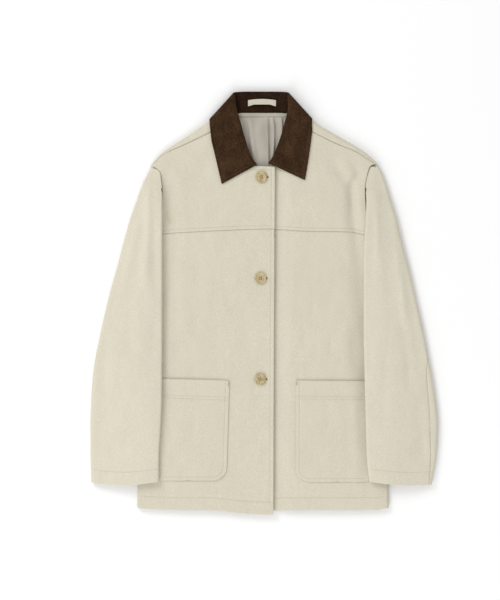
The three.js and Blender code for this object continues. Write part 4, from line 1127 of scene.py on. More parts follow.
# Sleeves
def sleeve_ring(row, station, sign, front_x, back_x, side, seam_x):
    """Section of a sleeve: its points with their running length, and the lengths at its folds."""
    inward = -sign
    outer_x = row[OUTER_X] + inward * CANVAS / 2
    inner_y = row[INNER_Y]
    folded = row[TURN] > 0
    reach_x = row[INNER_X] - inward * CANVAS / 2 if folded else float(front_x(inner_y)) - inward * CAP_GAP
    width = abs(reach_x - outer_x)
    climb = float(ease((station - CLIMB_START) / (CLIMB_END - CLIMB_START)))

    def place(a, z):
        t = clamp(a / width, 0, 1)
        y = lerp(row[OUTER_Y], inner_y, t) + row[SAG] * np.sin(math.pi * t)
        return points(outer_x + inward * a, y, z)

    def level_here(a):
        p = place(a, 0 * a)
        return shelf_level(p[..., 0], p[..., 1])

    side_distance = abs(float(side(inner_y)) - outer_x)
    round_outer = float(lerp(BODY_ROLL, SLEEVE_ROLL, ease(station / OUTER_ROLL_FULL_AT)))
    round_inner = max((row[RISE] - row[LIFT]) / 2, MIN_INNER_ROLL)
    back_here = float(back_x(inner_y))
    seam_here = float(front_x(inner_y)) if station < CLIMB_END else float(seam_x(inner_y))
    under_x = lerp(back_here, float(seam_x(inner_y)), climb)
    under_end = abs(under_x - outer_x) - (1 - climb / 2) * SEAM_GAP
    tuck_end = abs(seam_here - outer_x) + SEAM_GAP / 2
    t = np.linspace(0, 1, 41)
    a = lerp(under_end, round_outer, t)
    on_body = climb * ease((a - side_distance + STEP_BEFORE) / STEP_LENGTH)
    floor = place(a, lerp(FLOOR_LEVEL, level_here(a) + row[LIFT], on_body))
    angle = np.linspace(0, math.pi, 25)
    bend = place(round_outer * (1 - np.sin(angle)), FLOOR_LEVEL + round_outer * (1 - np.cos(angle)))
    top_end = width - round_inner if folded else width
    end = np.array(top_end)
    tuck_level = float(level_here(end)) + row[LIFT]
    inner_height = tuck_level + 2 * round_inner if folded else float(level_here(end)) + row[RISE]
    bulge = SLEEVE_BULGE * float(ease(station / BULGE_FULL_AT))
    t = np.linspace(0, 1, 61)
    base = lerp(FLOOR_LEVEL + 2 * round_outer, inner_height, ease(t))
    top = place(lerp(round_outer, top_end, t), base + bulge * np.sin(math.pi * t) ** BULGE_POWER)
    parts = [floor, bend[1:], top[1:]]
    marks = [len(floor) - 1, len(floor) + 11, len(floor) + 23, len(floor) + 23 + 60]
    if folded:
        angle = np.linspace(0, math.pi * row[TURN], 19)
        turned_at = top_end + round_inner * np.sin(angle)
        turned_z = tuck_level + round_inner * (1 + np.cos(angle))
        parts.append(place(turned_at, turned_z)[1:])
        marks.append(marks[-1] + 18)
        if row[TURN] > 0.99 and tuck_end < top_end:
            a = lerp(top_end, tuck_end, np.linspace(0, 1, 13))
            parts.append(place(a, level_here(a) + row[LIFT])[1:])
    chain = np.concatenate(parts)
    steps = np.linalg.norm(np.diff(chain, axis=0), axis=1)
    lengths = np.concatenate([[0], np.cumsum(steps)])
    total = lengths[-1]
    knots = [lengths[k] for k in marks]
    inner = min(knots[4] if folded else total, total - LEAST_RUN)
    return chain, lengths, (knots[0], knots[1], knots[2], min(knots[3], total - 2 * LEAST_RUN), inner, total)


SLEEVE_STATIONS = grid_lines(0, (1, 0.12), (8, 0.11), (CLIMB_START, 0.125), (CLIMB_END, 0.1), (17.35, 0.065),
                             (17.65, 0.017), (LAST_STATION, 0.04))
UNDER_FROM = 1.0


def sleeve(sign, rows, armhole, side, back_seam):
    columns = [None] + [track(rows, 0, k) for k in range(1, rows.shape[1])]
    front_x = track(armhole, 0, 1)
    back_x = track(armhole, 0, 2)
    seam_x = track(front_seam, 0, 1 if sign < 0 else 2)
    reach = track(back_seam, 0, 1)
    top_us = grid_lines(0, (1, 0.16), (2, 0.028), (3, 0.1), (4, 0.14))
    under_us = grid_lines(0, (1, 0.045), (2, 0.045), (3, 0.12))
    top = []
    under = []
    for station in SLEEVE_STATIONS:
        row = [station] + [float(read(station)) for read in columns[1:]]
        chain, lengths, marks = sleeve_ring(row, station, sign, front_x, back_x, side, seam_x)
        floor, apex, outer, top_mark, inner, total = marks
        seam_at = apex + float(reach(station))
        first = seam_at + BACK_SEAM_GAP / 2
        knots = [first, max(outer, first + LEAST_RUN), top_mark, inner, total]
        s = np.interp(top_us, range(5), knots)
        top.append(np.stack([np.interp(s, lengths, chain[:, k]) for k in range(3)], axis=1))
        if station >= UNDER_FROM:
            last = seam_at - BACK_SEAM_GAP / 2
            middle = min(floor * 0.55, last - 6 * LEAST_RUN)
            s = np.interp(under_us, range(4), [0, middle, min(floor, last - 3 * LEAST_RUN), last])
            under.append(np.stack([np.interp(s, lengths, chain[:, k]) for k in range(3)], axis=1))
    return np.array(top), np.array(under)


def cuff_y(rows):
    """Height of the cuff's edge across the sleeve."""
    last = rows[-1]

    def read(x):
        t = clamp((x - last[OUTER_X]) / (last[INNER_X] - last[OUTER_X]), 0, 1)
        return lerp(last[OUTER_Y], last[INNER_Y], t) + last[SAG] * np.sin(math.pi * t)

    return read


cuffs = {"right": cuff_y(sleeve_right), "left": cuff_y(sleeve_left)}
cuff_stitch = {
    "right": seam_line(cuffs["right"], -302.5, -185, HEM_TURN + 1.5),
    "left": seam_line(cuffs["left"], 184, 300, HEM_TURN + 1.5),
}
seam_stitch_left = dense([
    (281.0, -104.0), (282.4, -126.0), (285.6, -170.0), (288.2, -214.0), (289.7, -266.0), (286.6, -316.0),
])
sleeve_sizes = {
    "right": (-1, sleeve_right, armhole_right, side_right, back_seam_right),
    "left": (1, sleeve_left, armhole_left, side_left, back_seam_left),
}
seam_edges = {}
for name, sizes in sleeve_sizes.items():
    top, under = sleeve(*sizes)
    at_cap = SLEEVE_STATIONS < 4.9
    from_one = SLEEVE_STATIONS >= UNDER_FROM
    seam_edges["cap_" + name] = np.concatenate([top[0, 8:-6], top[at_cap, -1]])
    seam_edges["fold_" + name] = top[0, :12] + [0, 1.1, 0]
    seam_edges["back_" + name] = (top[from_one, 0] + under[:, -1]) / 2
    for part, p in (("top", top), ("under", under)):
        n = grid_normals(p)
        if part == "top" and n[len(n) // 2, top.shape[1] // 2, 2] < 0:
            n = -n
        if part == "under" and n[len(n) // 2, 2, 2] > 0:
            n = -n
        x, y = p[..., 0], p[..., 1]
        upper = ease(n[..., 2] * 1.6) if part == "top" else ease((n[..., 2] - 0.2) * 1.6)
        lower = ease(-n[..., 2] * 1.6) * ease((3.0 - p[..., 2]) / 1.5)
        up = y - cuffs[name](x)
        stitching = [cuff_stitch[name]] + ([seam_stitch_left] if name == "left" else [])
        relief = (sleeve_creases(x, y) + ripple(x + 40, y, 1.1) + groove(x, y, stitching)) * upper
        relief = relief + hem_pucker(x, up) * upper
        p = p + n * relief[..., None]
        hidden = (0.6 + 0.5 * np.sin(y / 38.0 + x / 21.0 + 1.5 * np.sin(x / 33.0))) * lower
        p[..., 2] += np.maximum(hidden, 0) * ease((y + 318) / 30) * (part == "under")
        key = f"sleeve_{part}_{name}"
        # The sleeves wear the lighter copy of the canvas: painted light.
        made[key] = shell(key, p, CANVAS, canvas_sleeve_painted_light)


# Collar
def collar_lines():
    def turn(line, upward):
        roll_x, roll_y, edge_x, edge_y, seam_x, seam_y = line
        inward = -math.copysign(1, roll_x)
        rows = []
        for k in range(TURN_STEPS + 1):
            angle = math.pi * (k if upward else TURN_STEPS - k) / TURN_STEPS
            inset = 1 - math.sin(angle)
            over = (1 - math.cos(angle)) / 2
            on_front = angle > math.pi / 2
            slide = TURN_LEAF * inset * (TURN_ON_FRONT if on_front else TURN_BEHIND)
            rows.append((
                roll_x + inward * TURN_IN_X * TURN_CREST * inset,
                roll_y - over * (TURN_DROP + TURN_IN_Y * TURN_CREST * inset),
                edge_x + inward * slide * (TURN_SLACK if on_front else 1),
                edge_y - slide * (1 if on_front else TURN_SLACK),
                seam_x, seam_y - ROLL_DEPTH * inset, over,
            ))
        return table(*rows)

    rows = np.concatenate([
        collar_right, turn(turn_right, False), collar_back, turn(turn_left, True), collar_left,
    ])
    return np.concatenate([np.arange(len(rows))[:, None], rows], axis=1)


collar_rows = collar_lines()
COLLAR_LAST = len(collar_rows) - 1
roll_x_at, roll_y_at, edge_x_at, edge_y_at, seam_x_at, seam_y_at, over_at = [
    track(collar_rows, 0, k) for k in range(1, 8)
]
STAND_ASIDE = 5.2
LEAF_CREST = 4.0
LEAF_EDGE = 2.9
LEAF_SETTLE = 26
CREST_LIFT = 1.6
STAND_SEAM_LIFT = 0.4
STAND_CREST_LIFT = 1.2
CREST_GAP = 0.75
NECK_GAP = 0.9
BACK_CREST = COLLAR / 2 + CREST_ROLL + STAND_CREST_LIFT / 2


def crest_level(s):
    return lerp(BACK_CREST, shelf_level(roll_x_at(s), roll_y_at(s)) + CREST_LIFT, over_at(s))


def stand_back(t):
    crest = COLLAR / 2 + 2 * CREST_ROLL + STAND_CREST_LIFT
    return lerp(back_level(0, NECK_SEAM_Y) + STAND_SEAM_LIFT, crest, ease(t))


def leaf_points(s, t):
    curves = (roll_x_at, roll_y_at, edge_x_at, edge_y_at, over_at)
    roll_x, roll_y, edge_x, edge_y, over = (read(s) for read in curves)
    length = np.hypot(edge_x - roll_x, edge_y - roll_y)
    rounding = CREST_ROLL * (1 - np.cos((1 + np.minimum(t, 0)) * math.pi / 2))
    a = np.where(t < 0, rounding, lerp(CREST_ROLL, length, np.maximum(t, 0)))
    x = lerp(roll_x, edge_x, a / length)
    y = lerp(roll_y, edge_y, a / length)
    arc = quarter(a / CREST_ROLL)
    crest = crest_level(s)
    above = lerp(LEAF_CREST, LEAF_EDGE, ease((a - CREST_ROLL) / LEAF_SETTLE))
    high = lerp(crest + CREST_GAP, shelf_level(x, y) + above, arc)
    low = lerp(crest - CREST_GAP, COLLAR / 2, arc)
    return points(x, y, lerp(low, high, over))


def stand_points(s, t):
    over = over_at(s)
    aside = STAND_ASIDE * np.sqrt(2 * np.sqrt(np.maximum(over * (1 - over), 0)))
    roll_x = roll_x_at(s) - np.sign(roll_x_at(s)) * TURN_IN_X * aside
    roll_y = roll_y_at(s) - TURN_IN_Y * aside
    table_x = seam_x_at(s)
    table_y = np.where(over < 0.001, back_top_y(table_x), seam_y_at(s))
    gap = NECK_GAP / np.hypot(roll_x - table_x, roll_y - table_y)
    seam_x = lerp(table_x, roll_x, gap)
    seam_y = lerp(table_y, roll_y, gap)
    length = np.hypot(roll_x - seam_x, roll_y - seam_y)
    rounding = np.minimum(CREST_ROLL, length / 3)
    turned = rounding * (1 - np.sin((t - 1) * math.pi / 2))
    from_crest = np.where(t > 1, turned, lerp(length, rounding, np.minimum(t, 1)))
    along = 1 - from_crest / length
    x = lerp(seam_x, roll_x, along)
    y = lerp(seam_y, roll_y, along)
    arc = quarter(from_crest / rounding)
    crest = crest_level(s)
    low = lerp(crest - CREST_GAP, shelf_level(x, y), arc)
    high = lerp(crest + CREST_GAP, stand_back(clamp(along, 0, 1)), arc)
    return points(x, y, lerp(high, low, over))


# The stitching runs this far in from the collar's two ends, as a share of a row of its table
COLLAR_END = 0.36
leaf_edge_s = np.linspace(COLLAR_END, COLLAR_LAST - COLLAR_END, 700)
edge_dx = edge_x_at(leaf_edge_s) - roll_x_at(leaf_edge_s)
edge_dy = edge_y_at(leaf_edge_s) - roll_y_at(leaf_edge_s)
edge_length = np.hypot(edge_dx, edge_dy)
leaf_edge = leaf_points(leaf_edge_s, (edge_length - EDGE_STITCH - CREST_ROLL) / (edge_length - CREST_ROLL))
on_front = over_at(leaf_edge_s) > 0.6
end_t = np.linspace(0.02, 0.9, 60)
collar_stitch = {
    "right": dense(leaf_edge[on_front & (leaf_edge_s < 11)][:, :2]),
    "left": dense(leaf_edge[on_front & (leaf_edge_s > 11)][:, :2]),
    "right_end": dense(leaf_points(COLLAR_END + 0 * end_t, end_t)[:, :2]),
    "left_end": dense(leaf_points(COLLAR_LAST - COLLAR_END + 0 * end_t, end_t)[:, :2]),
}
collar_us = grid_lines(
    0, (0.6, 0.045), (4, 0.055), (5, 0.08), (9, 0.045), (13, 0.06), (17, 0.045), (18, 0.08),
    (COLLAR_LAST - 0.6, 0.055), (COLLAR_LAST, 0.045),
)
collar_vs = grid_lines(-1, (0, 0.17), (0.8, 0.025), (1, 0.0125))
s, t = np.meshgrid(collar_us, collar_vs)
leaf = leaf_points(s, t)
x, y = leaf[..., 0], leaf[..., 1]
worn = (over_at(s) > 0.9) * ease(t * 3)
leaf[..., 2] += (collar_creases(x, y) + ripple(x, y, 0.8)) * worn
leaf[..., 2] += groove(x, y, list(collar_stitch.values()), 0.6, 1.0) * (over_at(s) > 0.6)
made["collar_leaf"] = shell("collar_leaf", leaf, COLLAR, brown)
s, t = np.meshgrid(collar_us, grid_lines(0, (1, 0.04), (2, 0.17)))
stand = stand_points(s, t)
x, y = stand[..., 0], stand[..., 1]
behind = over_at(s) < 0.05
centre_seam = np.exp(-(((x + 4.8) / 1.1) ** 2))
stand[..., 2] += behind * (-0.5 * centre_seam + ripple(x, y, 1.0))
# The stand wears the darker copy of the collar cloth: painted shade.
made["collar_stand"] = shell("collar_stand", stand, COLLAR, brown_painted_shade)


# Lining, tape and loop
def lining_height(x, y):
    fall = ease((LINING_HIGH - y) / 18)
    base = back_level(x, y) + CANVAS / 2 + REST_GAP + LINING / 2
    in_opening = lerp(0.15, 1, ease((y - 220) / 20))
    return base + np.maximum(1.2 + lining_creases(x, y), 0.05) * fall * in_opening


x, y = np.meshgrid(np.linspace(LINING_LEFT, LINING_RIGHT, 120), np.linspace(LINING_HIGH, LINING_LOW, 110))
lining_points = points(x, y, lining_height(x, y))
made["back_lining"] = shell("back_lining", lining_points, LINING_SHELL, lining_cloth)
x, y = np.meshgrid(np.linspace(LINING_LEFT, LINING_RIGHT, 60), np.linspace(TAPE_HIGH, TAPE_LOW, 7))
lift = lining_height(x, 0 * y + TAPE_HIGH) + LINING / 2 + REST_GAP + TAPE / 2
edge_drop = 0.5 * ease((TAPE_HIGH - y) / (TAPE_HIGH - TAPE_LOW))
made["neck_tape"] = shell("neck_tape", points(x, y, lift + edge_drop), TAPE, tape_cloth)
u, v = np.meshgrid(np.linspace(0, 1, 61), np.linspace(0, 1, 13))
bow = np.sin(math.pi * u) ** 0.7
loop_low = LOOP_MIDDLE - 5.4 + 2.7 * ease(np.minimum(u, 1 - u) / 0.24)
loop_high = LOOP_MIDDLE + 5.2 + 1.7 * np.sin(math.pi * u)
x = lerp(LOOP_LEFT, LOOP_RIGHT, u)
y = lerp(loop_low, loop_high, v)
along = (y - NECK_SEAM_Y) / (BACK_CREST_Y - NECK_SEAM_Y)
z = stand_back(along) + COLLAR / 2 + REST_GAP + LINING / 2 + LOOP_BOW * bow
for sewn in (0.14, 0.86):
    z = z - LOOP_GROOVE * np.exp(-((v - sewn) / 0.05) ** 2)
made["hanger_loop"] = shell("hanger_loop", points(x, y, z), LINING, loop_cloth)


# Stitches: a short bar of thread for each, laid on the cloth
def tree_of(obj):
    mesh = obj.data
    return BVHTree.FromPolygons([v.co for v in mesh.vertices], [p.vertices[:] for p in mesh.polygons])


trees = {name: tree_of(obj) for name, obj in made.items()}


def drop_on(names, path, from_above=True):
    """Points and normals of a path of x and y on the first of the named pieces that it meets."""
    direction = Vector((0, 0, -1 if from_above else 1))
    found = []
    for px, py in path:
        start = Vector((px * MM, py * MM, 0.1 if from_above else -0.1))
        best = None
        for name in names:
            hit, normal, _, distance = trees[name].ray_cast(start, direction)
            if hit is not None and (best is None or distance < best[2]):
                best = (hit, normal, distance)
        if best is not None:
            normal = best[1] if best[1].z * -direction.z > 0 else -best[1]
            found.append(tuple(best[0] / MM) + tuple(normal))
    return np.array(found)


STITCH_SIDES = 6


def stitch_mesh(lines, pitch=STITCH_PITCH, length=STITCH_LENGTH, radius=STITCH_RADIUS, sunk=0.35):
    verts = []
    faces = []
    profile = ((0.0, 0.35), (0.18, 0.9), (0.5, 1.0), (0.82, 0.9), (1.0, 0.35))
    for line in lines:
        if len(line) < 2:
            continue
        steps = np.linalg.norm(np.diff(line[:, :3], axis=0), axis=1)
        run = np.concatenate([[0], np.cumsum(steps)])
        count = int(run[-1] / pitch)
        for k in range(count):
            base = len(verts)
            first = (k + 0.5) * pitch - length / 2
            for share, size in profile:
                at = first + share * length
                c = np.array([np.interp(at, run, line[:, m]) for m in range(6)])
                ahead = np.array([np.interp(at + 0.3, run, line[:, m]) for m in range(3)])
                forward = unit(ahead - c[:3] + 1e-9)
                normal = unit(c[3:])
                side = unit(np.cross(forward, normal))
                arch = math.sin(math.pi * share)
                centre = c[:3] + normal * radius * (arch * (1 - sunk) - sunk)
                for q in range(STITCH_SIDES):
                    angle = 2 * math.pi * q / STITCH_SIDES
                    verts.append(centre + radius * size * (side * math.cos(angle) + normal * math.sin(angle)))
            for ring in range(len(profile) - 1):
                for q in range(STITCH_SIDES):
                    a = base + ring * STITCH_SIDES + q
                    b = base + ring * STITCH_SIDES + (q + 1) % STITCH_SIDES
                    faces.append([a, b, b + STITCH_SIDES, a + STITCH_SIDES])
            faces.append([base + q for q in range(STITCH_SIDES - 1, -1, -1)])
            last = base + (len(profile) - 1) * STITCH_SIDES
            faces.append([last + q for q in range(STITCH_SIDES)])
    return np.array(verts), faces


def add_stitches(name, lines, material=None, slot="canvas", **sizes):
    verts, faces = stitch_mesh(lines, **sizes)
    return add_mesh(name, verts, faces, material or thread, None)


stitching = {
    "stitches_right": add_stitches("stitches_right", [
        drop_on(["yoke_right", "front_right"], placket_stitch), drop_on(["yoke_right"], placket_top),
        drop_on(["yoke_right"], yoke_stitch_right), drop_on(["front_right"], hem_stitch_right),
    ]),
    "stitches_left": add_stitches("stitches_left", [
        drop_on(["yoke_left"], yoke_stitch_left), drop_on(["front_left"], hem_stitch_left),
    ]),
}
for name in pocket_sizes:
    lines = [drop_on([name], path) for path in [pocket_stitch[name]] + pocket_bands[name]]
    stitching["stitches_" + name] = add_stitches("stitches_" + name, lines)
for name in sleeve_sizes:
    tops = [f"sleeve_top_{name}", f"sleeve_under_{name}"]
    lines = [drop_on(tops, cuff_stitch[name]), drop_on(tops, cuff_stitch[name], False)]
    if name == "left":
        lines.append(drop_on(tops[:1], seam_stitch_left))
    stitching["stitches_sleeve_" + name] = add_stitches("stitches_sleeve_" + name, lines)
hem_back = dense([(-214.0, BACK_HEM_Y + HEM_TURN), (210.0, BACK_HEM_Y + HEM_TURN)])
stitching["stitches_back"] = add_stitches("stitches_back", [drop_on(["back"], hem_back, False)])
stitching["stitches_collar"] = add_stitches(
    "stitches_collar", [drop_on(["collar_leaf"], path) for path in collar_stitch.values()], collar_thread,
    "collar_cloth", sunk=0.5,
)
loop_lines = [
    dense([(x0, LOOP_MIDDLE - 4.2), (x0, LOOP_MIDDLE + 3.4)]) for x0 in (LOOP_LEFT + 1.8, LOOP_RIGHT - 1.8)
]
stitching["stitches_loop"] = add_stitches(
    "stitches_loop", [drop_on(["hanger_loop"], path) for path in loop_lines], None, "loop_cloth",
    pitch=1.6, length=1.2, radius=0.16,
)


# Bar tacks at the top corners of the pockets: close short stitches across the edge
TACK_HALF = 1.1
TACK_SPACING = 0.5


def bar_tack(x, y, tall):
    names = ["pocket_right", "pocket_left", "front_right", "front_left"]
    rows = y + np.arange(0, tall, TACK_SPACING)
    return [drop_on(names, [(x - TACK_HALF, row), (x + TACK_HALF, row)]) for row in rows]


tacks = bar_tack(-62.6, -145.5, 7.5) + bar_tack(57.0, -143.5, 7.5)
stitching["bar_tacks"] = add_stitches("bar_tacks", tacks, pitch=2.1, length=2.1, radius=0.24)


# Buttons, their thread and their buttonholes
BUTTON_RADIUS = 10.2
BUTTON_DEPTH = 3.2
HOLE_RADIUS = 1.0
HOLE_OFFSET = 1.75
BUTTON_STEPS = 72
BUTTON_TURNS = (12, -8, 20)
THREAD_LENGTH = 5.6
THREAD_RADIUS = 0.34
button_profile = (
    (0, 0), (0.7, 0), (0.88, 0.1), (0.96, 0.3), (1.0, 0.58), (0.985, 0.78), (0.945, 0.93), (0.9, 1.0),
    (0.855, 0.985), (0.81, 0.9), (0.76, 0.77), (0.68, 0.7), (0.52, 0.66), (0.3, 0.63), (0.0, 0.62),
)


def revolve(profile, steps):
    verts = []
    faces = []
    rings = []
    for radius, height in profile:
        if radius == 0:
            rings.append([len(verts)])
            verts.append((0, 0, height))
        else:
            rings.append(list(range(len(verts), len(verts) + steps)))
            turns = [2 * math.pi * k / steps for k in range(steps)]
            verts += [(radius * math.cos(turn), radius * math.sin(turn), height) for turn in turns]
    for low, high in zip(rings[:-1], rings[1:]):
        for k in range(steps):
            m = (k + 1) % steps
            if len(low) == 1:
                faces.append([low[0], high[m], high[k]])
            elif len(high) == 1:
                faces.append([low[k], low[m], high[0]])
            else:
                faces.append([low[k], low[m], high[m], high[k]])
    return verts, faces


def plain_mesh(name, verts, faces):
    mesh = bpy.data.meshes.new(name)
    mesh.from_pydata([tuple(v) for v in verts], [], faces)
    obj = bpy.data.objects.new(name, mesh)
    bpy.context.scene.collection.objects.link(obj)
    bm = bmesh.new()
    bm.from_mesh(mesh)
    bmesh.ops.recalc_face_normals(bm, faces=bm.faces)
    bm.to_mesh(mesh)
    bm.free()
    return obj


def make_button(name, x, y, turn):
    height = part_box(name)[0].z
    profile = [(r * BUTTON_RADIUS * MM, h * BUTTON_DEPTH * MM) for r, h in button_profile]
    verts, faces = revolve(profile, BUTTON_STEPS)
    obj = plain_mesh(name + "_horn", verts, faces)
    hole_profile = [(0, -1), (HOLE_RADIUS, -1), (HOLE_RADIUS, 1.75), (HOLE_RADIUS * 1.35, 2.4), (0, 2.4)]
    holes_v = []
    holes_f = []
    for i in (-1, 1):
        for j in (-1, 1):
            v, f = revolve([(r * MM, h * MM) for r, h in hole_profile], 24)
            base = len(holes_v)
            holes_v += [(a + i * HOLE_OFFSET * MM, b + j * HOLE_OFFSET * MM, c) for a, b, c in v]
            holes_f += [[k + base for k in face] for face in f]
    cutter = plain_mesh(name + "_cutter", holes_v, holes_f)
    cut = obj.modifiers.new("holes", "BOOLEAN")
    cut.operation = "DIFFERENCE"
    cut.solver = "EXACT"
    cut.object = cutter
    depsgraph = bpy.context.evaluated_depsgraph_get()
    mesh = bpy.data.meshes.new_from_object(obj.evaluated_get(depsgraph))
    obj.modifiers.clear()
    obj.data = mesh
    bpy.data.objects.remove(cutter)
    angle = math.radians(turn)
    cosine = math.cos(angle)
    sine = math.sin(angle)
    rotation = np.array([[cosine, -sine, 0], [sine, cosine, 0], [0, 0, 1]])
    for v in mesh.vertices:
        v.co = Vector(rotation @ np.array(v.co) + np.array([x * MM, y * MM, height]))
    mesh.polygons.foreach_set("use_smooth", [True] * len(mesh.polygons))
    mesh.set_sharp_from_angle(angle=math.radians(50))
    mesh.materials.append(horn)
    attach(obj, "root")
    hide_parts(name)
    lines = []
    for i in (-1, 1):
        for shift in (-0.4, 0.0, 0.4):
            reach = HOLE_OFFSET + 0.25
            slant = np.array([-i * shift, shift]) * 0.7
            ends = np.array([[-reach, -i * reach, 0], [reach, i * reach, 0]])
            ends[:, :2] += slant
            path = ends @ rotation.T + np.array([x, y, 0])
            t = np.linspace(0, 1, 11)[:, None]
            line = lerp(path[0], path[1], t)
            over_other = 0.45 if i > 0 else 0.15
            arch = BUTTON_DEPTH * 0.6 + (0.1 + over_other) * np.sin(math.pi * t[:, 0])
            line[:, 2] = height / MM + arch
            lines.append(np.concatenate([line, np.tile([0, 0, 1.0], (11, 1))], axis=1))
    add_stitches(
        name + "_thread", lines, button_thread, "horn",
        pitch=THREAD_LENGTH, length=THREAD_LENGTH, radius=THREAD_RADIUS, sunk=0,
    )


# Buttonholes, from the button's centre towards the placket's edge
HOLE_EYE_X = 10.6
HOLE_EYE_RADIUS = 1.3
HOLE_START_X = -8.0
HOLE_SLIT = 0.35


def buttonhole(name, x, y, names):
    """Keyhole buttonhole: close stitches square to its edge, with a round eye towards the placket's edge."""
    eye_x = x + HOLE_EYE_X
    outline = [(x + HOLE_START_X, y + HOLE_SLIT)]
    start = math.asin(HOLE_SLIT / HOLE_EYE_RADIUS)
    for angle in np.linspace(math.pi - start, -math.pi + start, 25):
        outline.append((eye_x + HOLE_EYE_RADIUS * math.cos(angle), y + HOLE_EYE_RADIUS * math.sin(angle)))
    outline.append((x + HOLE_START_X, y - HOLE_SLIT))
    outline = dense(outline, 0.45)
    lines = []
    for a, b in zip(outline[:-1], outline[1:]):
        ahead = unit(b - a)
        out = np.array([-ahead[1], ahead[0]])
        lines.append(drop_on(names, [a - out * 0.1, a + out * 1.0, a + out * 1.9]))
    add_stitches(name, lines, thread, "canvas", pitch=1.7, length=1.9, radius=0.27, sunk=0.1)
    # A dark sheet along the slit and into the eye: painted shade in the opening.
    slit = []
    for px in np.linspace(x + HOLE_START_X, eye_x - HOLE_EYE_RADIUS, 24):
        slit.append((px, HOLE_SLIT))
    for angle in np.linspace(math.pi * 0.85, 0, 10):
        radius = HOLE_EYE_RADIUS * 0.92
        slit.append((eye_x + radius * math.cos(angle), max(radius * math.sin(angle), 0.02)))
    verts = []
    faces = []
    for k, (px, half) in enumerate(slit):
        ground = drop_on(names, [(px, y)])[0]
        for sign in (-1, 1):
            verts.append((px, y + sign * half, ground[2] + 0.06))
            verts.append((px, y + sign * half, ground[2] - 0.5))
        if k:
            a = 4 * (k - 1)
            b = 4 * k
            faces += [[a, b, b + 2, a + 2], [a + 1, a + 3, b + 3, b + 1]]
            faces += [[a, a + 1, b + 1, b], [a + 2, b + 2, b + 3, a + 3]]
    last = 4 * (len(slit) - 1)
    faces += [[0, 2, 3, 1], [last, last + 1, last + 3, last + 2]]
    add_mesh(name + "_slit", np.array(verts), faces, slit_shade, None)


for k, (bx, by) in enumerate(button_places):
    make_button(f"button_{k + 1}", bx, by, BUTTON_TURNS[k])
    buttonhole(f"buttonhole_{k + 1}", bx, by, ["yoke_right", "front_right"])

# Seam allowances: a narrow strip of the canvas under each open seam
RIBBON_DROP = CANVAS / 2 + 0.5
RIBBON_HALF = 3.0
RIBBON_THICKNESS = 0.6


def ribbon(name, x, y):
    side = np.linspace(-1, 1, 5)[:, None] * RIBBON_HALF
    px = x[None, :] + 0 * side
    py = y[None, :] + side
    z = front_level(px, py) - RIBBON_DROP + front_relief(px, py)
    return shell(name, points(px, py, z), RIBBON_THICKNESS, canvas)


def seam_ribbons():
    pieces = []
    ranges = {"right": (-190, -76), "left": (64, 190)}
    for name, (x0, x1) in ranges.items():
        x = np.linspace(x0, x1, 90)
        pieces.append(ribbon("shoulder_seam_" + name, x, shoulder_seam_y(x)))
    return pieces


def cord(name, path, wide, tall, across=None):
    """Closed tube along a path with an oval section: the cloth's edges inside a seam."""
    count = len(path)
    ahead = unit(np.gradient(path, axis=0))
    if across is None:
        level = unit(ahead * [1, 1, 0] + [1e-9, 0, 0])
        across = np.stack([-level[:, 1], level[:, 0], 0 * level[:, 0]], axis=1)
        up = np.tile([0, 0, 1.0], (count, 1))
    else:
        across = np.tile(across, (count, 1))
        up = np.cross(ahead, across)
    tall = np.broadcast_to(tall, count)[:, None]
    angles = np.linspace(0, 2 * math.pi, 9)[:-1]
    ring = [path + across * wide * math.cos(a) + up * tall * math.sin(a) for a in angles]
    verts = np.stack(ring, axis=1).reshape(-1, 3)
    faces = [list(range(8))[::-1], [8 * (count - 1) + k for k in range(8)]]
    for j in range(count - 1):
        for k in range(8):
            a = 8 * j + k
            b = 8 * j + (k + 1) % 8
            faces.append([a, b, b + 8, a + 8])
    add_mesh(name, verts, faces, canvas, None)


def seam_cords():
    """Fill the armhole seams at the caps and the back seam that shows."""
    for name, inward in (("right", 1), ("left", -1)):
        path = seam_edges["cap_" + name].copy()
        ahead = unit(np.gradient(path, axis=0))
        path[:, 0] += CAP_GAP * inward * np.abs(ahead[:, 1])
        path[:, 1] += SEAM_GAP * np.abs(ahead[:, 0])
        low = front_level(path[:, 0], path[:, 1]) + front_relief(path[:, 0], path[:, 1])
        high = path[:, 2]
        path[:, 2] = (low + high) / 2 + 0.42
        cord("armhole_cord_" + name, path, 0.2, np.abs(high - low) / 2 + 0.2)
        cord("fold_cord_" + name, seam_edges["fold_" + name], 1.1, 0.8, [0, 1.0, 0])
    path = seam_edges["back_left"]
    path = path[path[:, 1] < -30]
    cord("sleeve_cord_left", path + [0, 0, 0.44], 0.14, 0.14)


ribbons = seam_ribbons()
seam_cords()

# Which nodes the shells stand for, and how each sheet was cut
cuts = {
    "back": ((0.47, 0.72), 0.2765, ["stitches_back"]),
    "yoke_right": ((0.22, 0.19), 0.0293, []),
    "yoke_left": ((0.23, 0.19), 0.0306, []),
    "front_right": ((0.25, 0.50), 0.1145, ["stitches_right"]),
    "front_left": ((0.27, 0.50), 0.119, ["stitches_left"]),
    "sleeve_top_right": ((0.20, 0.58), 0.0689, ["stitches_sleeve_right"]),
    "sleeve_under_right": ((0.12, 0.53), 0.0408, []),
    "sleeve_top_left": ((0.20, 0.58), 0.0642, ["stitches_sleeve_left"]),
    "sleeve_under_left": ((0.13, 0.53), 0.0446, []),
    "pocket_right": ((0.142, 0.178), 0.0248, ["stitches_pocket_right"]),
    "pocket_left": ((0.143, 0.178), 0.0253, ["stitches_pocket_left"]),
    "collar_leaf": ((0.52, 0.075), 0.0242, ["stitches_collar"]),
    "collar_stand": ((0.42, 0.04), 0.0115, []),
    "back_lining": ((0.102, 0.127), None, []),
    "neck_tape": ((0.094, 0.01), 0.00059, []),
    "hanger_loop": ((0.05, 0.0105), None, ["stitches_loop"]),
}

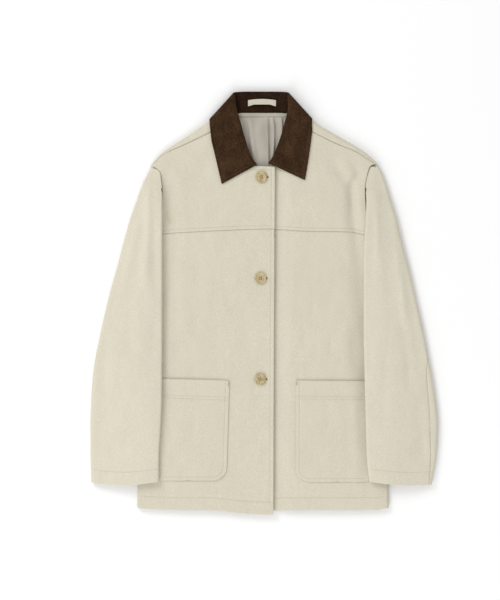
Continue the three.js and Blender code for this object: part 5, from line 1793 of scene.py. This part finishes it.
# Floor, light and camera
FLOOR_SIZE = 24.0
FLOOR_Z = -0.0004
floor_mesh = bpy.data.meshes.new("floor")
corner = FLOOR_SIZE / 2
corners = [(-corner, -corner), (corner, -corner), (corner, corner), (-corner, corner)]
floor_mesh.from_pydata([(cx, cy, FLOOR_Z) for cx, cy in corners], [], [[0, 1, 2, 3]])
floor = bpy.data.objects.new("floor", floor_mesh)
bpy.context.scene.collection.objects.link(floor)
paper = Nodes("paper")
paper.set(Roughness=0.9, Specular_IOR_Level=0.1)
paper.shader.inputs["Base Color"].default_value = (0.98, 0.98, 0.98, 1)
floor.data.materials.append(paper.material)
floor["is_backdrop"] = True

for name, (flat, area, extras) in cuts.items():
    obj = made[name]
    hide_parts(name)

scene = bpy.context.scene
world = bpy.data.worlds.new("soft_room")
world.use_nodes = True
background = world.node_tree.nodes["Background"]
background.inputs["Color"].default_value = (1.0, 1.0, 1.0, 1)
background.inputs["Strength"].default_value = 0.70
scene.world = world


def area_light(name, place, target, size, watts):
    data = bpy.data.lights.new(name, "AREA")
    data.shape = "SQUARE"
    data.size = size
    data.energy = watts
    lamp = bpy.data.objects.new(name, data)
    lamp.location = place
    lamp.rotation_euler = (Vector(target) - Vector(place)).to_track_quat("-Z", "Y").to_euler()
    scene.collection.objects.link(lamp)


area_light("key", place=(-2.2, 2.4, 2.6), target=(0, 0, 0), size=1.8, watts=50)
area_light("fill", place=(-1.0, -3.3, 2.2), target=(0, 0, 0), size=2.2, watts=60)
scene.view_settings.view_transform = "Standard"

FRAME_HEIGHT = 1.05
CAMERA_HEIGHT = 4.0
CAMERA_X = -0.0249
CAMERA_Y = 0.00525
CLOTH_HEIGHT = 0.01
SENSOR = 36.0
camera_data = bpy.data.cameras.new("camera")
camera_data.sensor_width = SENSOR
camera_data.lens = SENSOR * (CAMERA_HEIGHT - CLOTH_HEIGHT) / FRAME_HEIGHT
camera = bpy.data.objects.new("camera", camera_data)
camera.location = (CAMERA_X, CAMERA_Y, CAMERA_HEIGHT)
scene.collection.objects.link(camera)
scene.camera = camera

visual_low, visual_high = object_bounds()
sizes = {"cad": [list(cad_low), list(cad_high)], "visual": [list(visual_low), list(visual_high)]}
